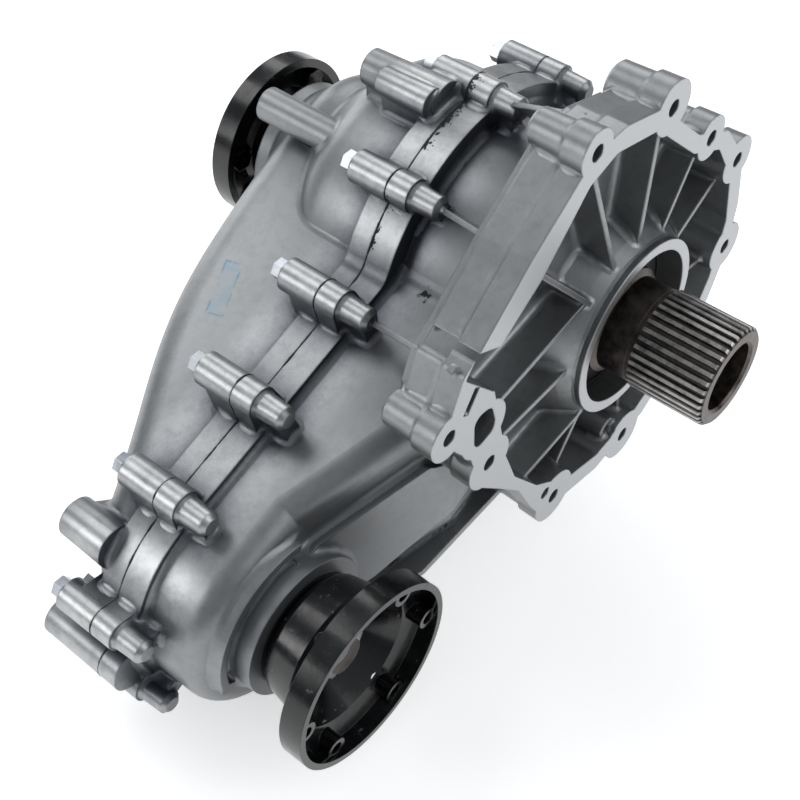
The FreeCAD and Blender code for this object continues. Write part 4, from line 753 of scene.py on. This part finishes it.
def lay_crumb(dice, close, walls, corners, faces):
    """Adds one crumb near one of the close points of the seam."""
    start = dice.choice(close)
    run = abs(dice.gauss(0.0, CRUMB_SPREAD_MM)) * MM
    aside = dice.uniform(-CRUMB_ASIDE_MM, CRUMB_ASIDE_MM) * MM
    hit, normal, face, gap = walls.find_nearest(start - Vector((aside, run, 0.0)))
    size = dice.uniform(*CRUMB_MM) * MM * (1.0 if run < CRUMB_NEAR_MM * MM else CRUMB_FAR_SIZE)
    side = normal.orthogonal().normalized()
    turned = normal.cross(side)
    turn = dice.uniform(0, math.pi)
    long_way = (side * math.cos(turn) + turned * math.sin(turn)) * size * dice.uniform(*CRUMB_LENGTHS)
    short_way = (turned * math.cos(turn) - side * math.sin(turn)) * size
    first = len(corners)
    for share, shift, foot in ((1.0, 0.0, hit - normal * CRUMB_SINK_MM * MM),
                               (CRUMB_TOP, 0.5, hit + normal * size * 0.5)):
        for k in range(CRUMB_SIDES):
            angle = 2 * math.pi * (k + shift) / CRUMB_SIDES
            corners.append(foot + share * (long_way * math.cos(angle) + short_way * math.sin(angle)))
    top = first + CRUMB_SIDES
    for k in range(CRUMB_SIDES):
        n = (k + 1) % CRUMB_SIDES
        faces.append((first + k, first + n, top + k))
        faces.append((first + n, top + n, top + k))
    faces.append(tuple(top + k for k in range(CRUMB_SIDES)))


walls = BVHTree.FromObject(nodes["front_case"], bpy.context.evaluated_depsgraph_get())
dice = random.Random(DICE_SEED)
for spot, reach, crumbs in RAGGED_SPOTS:
    close = [p for p in seam_line if (p - Vector(spot) * MM).length < reach * MM]
    for crumb in range(crumbs if close else 0):
        lay_crumb(dice, close, walls, thread_corners, thread_faces)
print("faces of thread and crumbs:", len(thread_faces))

# %% Squeezed-out sealant
inside_box = [Vector([min(max(c, a), b) for c, a, b in zip(corner, low, high)])
              for corner in thread_corners]
sealant = housing_piece("sealant_thread", inside_box, thread_faces, black_silicone)
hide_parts("parting_sealant")

# %% [markdown]
# The photograph has a plain white ground. A pale floor catches a faint shadow. Camera rays see it a
# little brighter than the lamps alone would make it, so it reads as white while the light on the
# metal stays at a plain level. More light could do the same, but it would bleach the castings.

# %% Floor
FLOOR_HALF_M = 7.0
FLOOR_GAP_M = 0.002
FLOOR_GLOW = 0.55

level = low.z - FLOOR_GAP_M
floor_mesh = bpy.data.meshes.new("floor")
floor_mesh.from_pydata([(x * FLOOR_HALF_M, y * FLOOR_HALF_M, level)
                        for x, y in ((-1, -1), (1, -1), (1, 1), (-1, 1))], [], [(0, 1, 2, 3)])
floor = bpy.data.objects.new("floor", floor_mesh)
bpy.context.scene.collection.objects.link(floor)

floor_material, tree, place = new_material("white_studio_floor")
seen = 0.0
for ray in ("Is Camera Ray", "Is Glossy Ray", "Is Transmission Ray"):
    now = add(tree, "ShaderNodeLightPath", output=ray)
    seen = add(tree, "ShaderNodeMath", (seen, now), operation="MAXIMUM")
glow = add(tree, "ShaderNodeMath", (seen, FLOOR_GLOW), operation="MULTIPLY")
dress(tree, {"Base Color": colour("#F2F2F2"), "Roughness": 0.9,
             "Emission Color": colour("#FFFFFF"), "Emission Strength": glow})
floor.data.materials.append(floor_material)
print("floor at", round(level, 4))

# %% [markdown]
# The light is soft and comes from large panels, as over a workshop table. One bright lamp would give
# hard shadows and a single hot streak on each round boss, so five square panels stand round the case,
# and a dim grey dome fills what they leave dark. The left panel is the strongest, because the
# photograph's highlights lie on that side.

# %% Grey dome
DOME_STRENGTH = 0.68

world = bpy.data.worlds.new("studio")
bpy.context.scene.world = world
world.use_nodes = True
tree = world.node_tree
tree.nodes.clear()
direction = add(tree, "ShaderNodeTexCoord", output="Generated")
height = add(tree, "ShaderNodeSeparateXYZ", (direction,), "Z")
upward = add(tree, "ShaderNodeMapRange", (height, -0.1, 0.9, 0.0, 1.0))
dome = layered(tree, "#65696F", (upward, "#D0D3D6"))
dome = add(tree, "ShaderNodeBackground", {"Color": dome, "Strength": DOME_STRENGTH})
add(tree, "ShaderNodeOutputWorld", {"Surface": dome})
print("dome strength:", DOME_STRENGTH)

# %% Lamps
PANELS = (  # name, turn (0 is behind the case, 90 on its right), rise, metres away, width, radiance
    ("overhead_panel", -12, 57, 1.9, 0.8, 2.7),
    ("left_panel", -57, 21, 1.6, 0.6, 4.4),
    ("right_panel", 56, 40, 1.8, 0.9, 2.3),
    ("back_panel", 16, 16, 2.2, 1.2, 2.2),
    ("front_panel", 160, 30, 2.0, 1.3, 2.0),
)
centre = (low + high) / 2
for name, turn_deg, rise_deg, away_m, width_m, radiance in PANELS:
    turn = math.radians(turn_deg)
    rise = math.radians(rise_deg)
    toward = Vector((math.sin(turn) * math.cos(rise), math.cos(turn) * math.cos(rise), math.sin(rise)))
    data = bpy.data.lights.new(name, "AREA")
    data.shape = "SQUARE"
    data.size = width_m
    data.energy = radiance * math.pi * width_m ** 2
    lamp = bpy.data.objects.new(name, data)
    lamp.location = centre + toward * away_m
    lamp.rotation_euler = (-toward).to_track_quat("-Z", "Y").to_euler()
    bpy.context.scene.collection.objects.link(lamp)
print("lamps:", len(PANELS))

# %% [markdown]
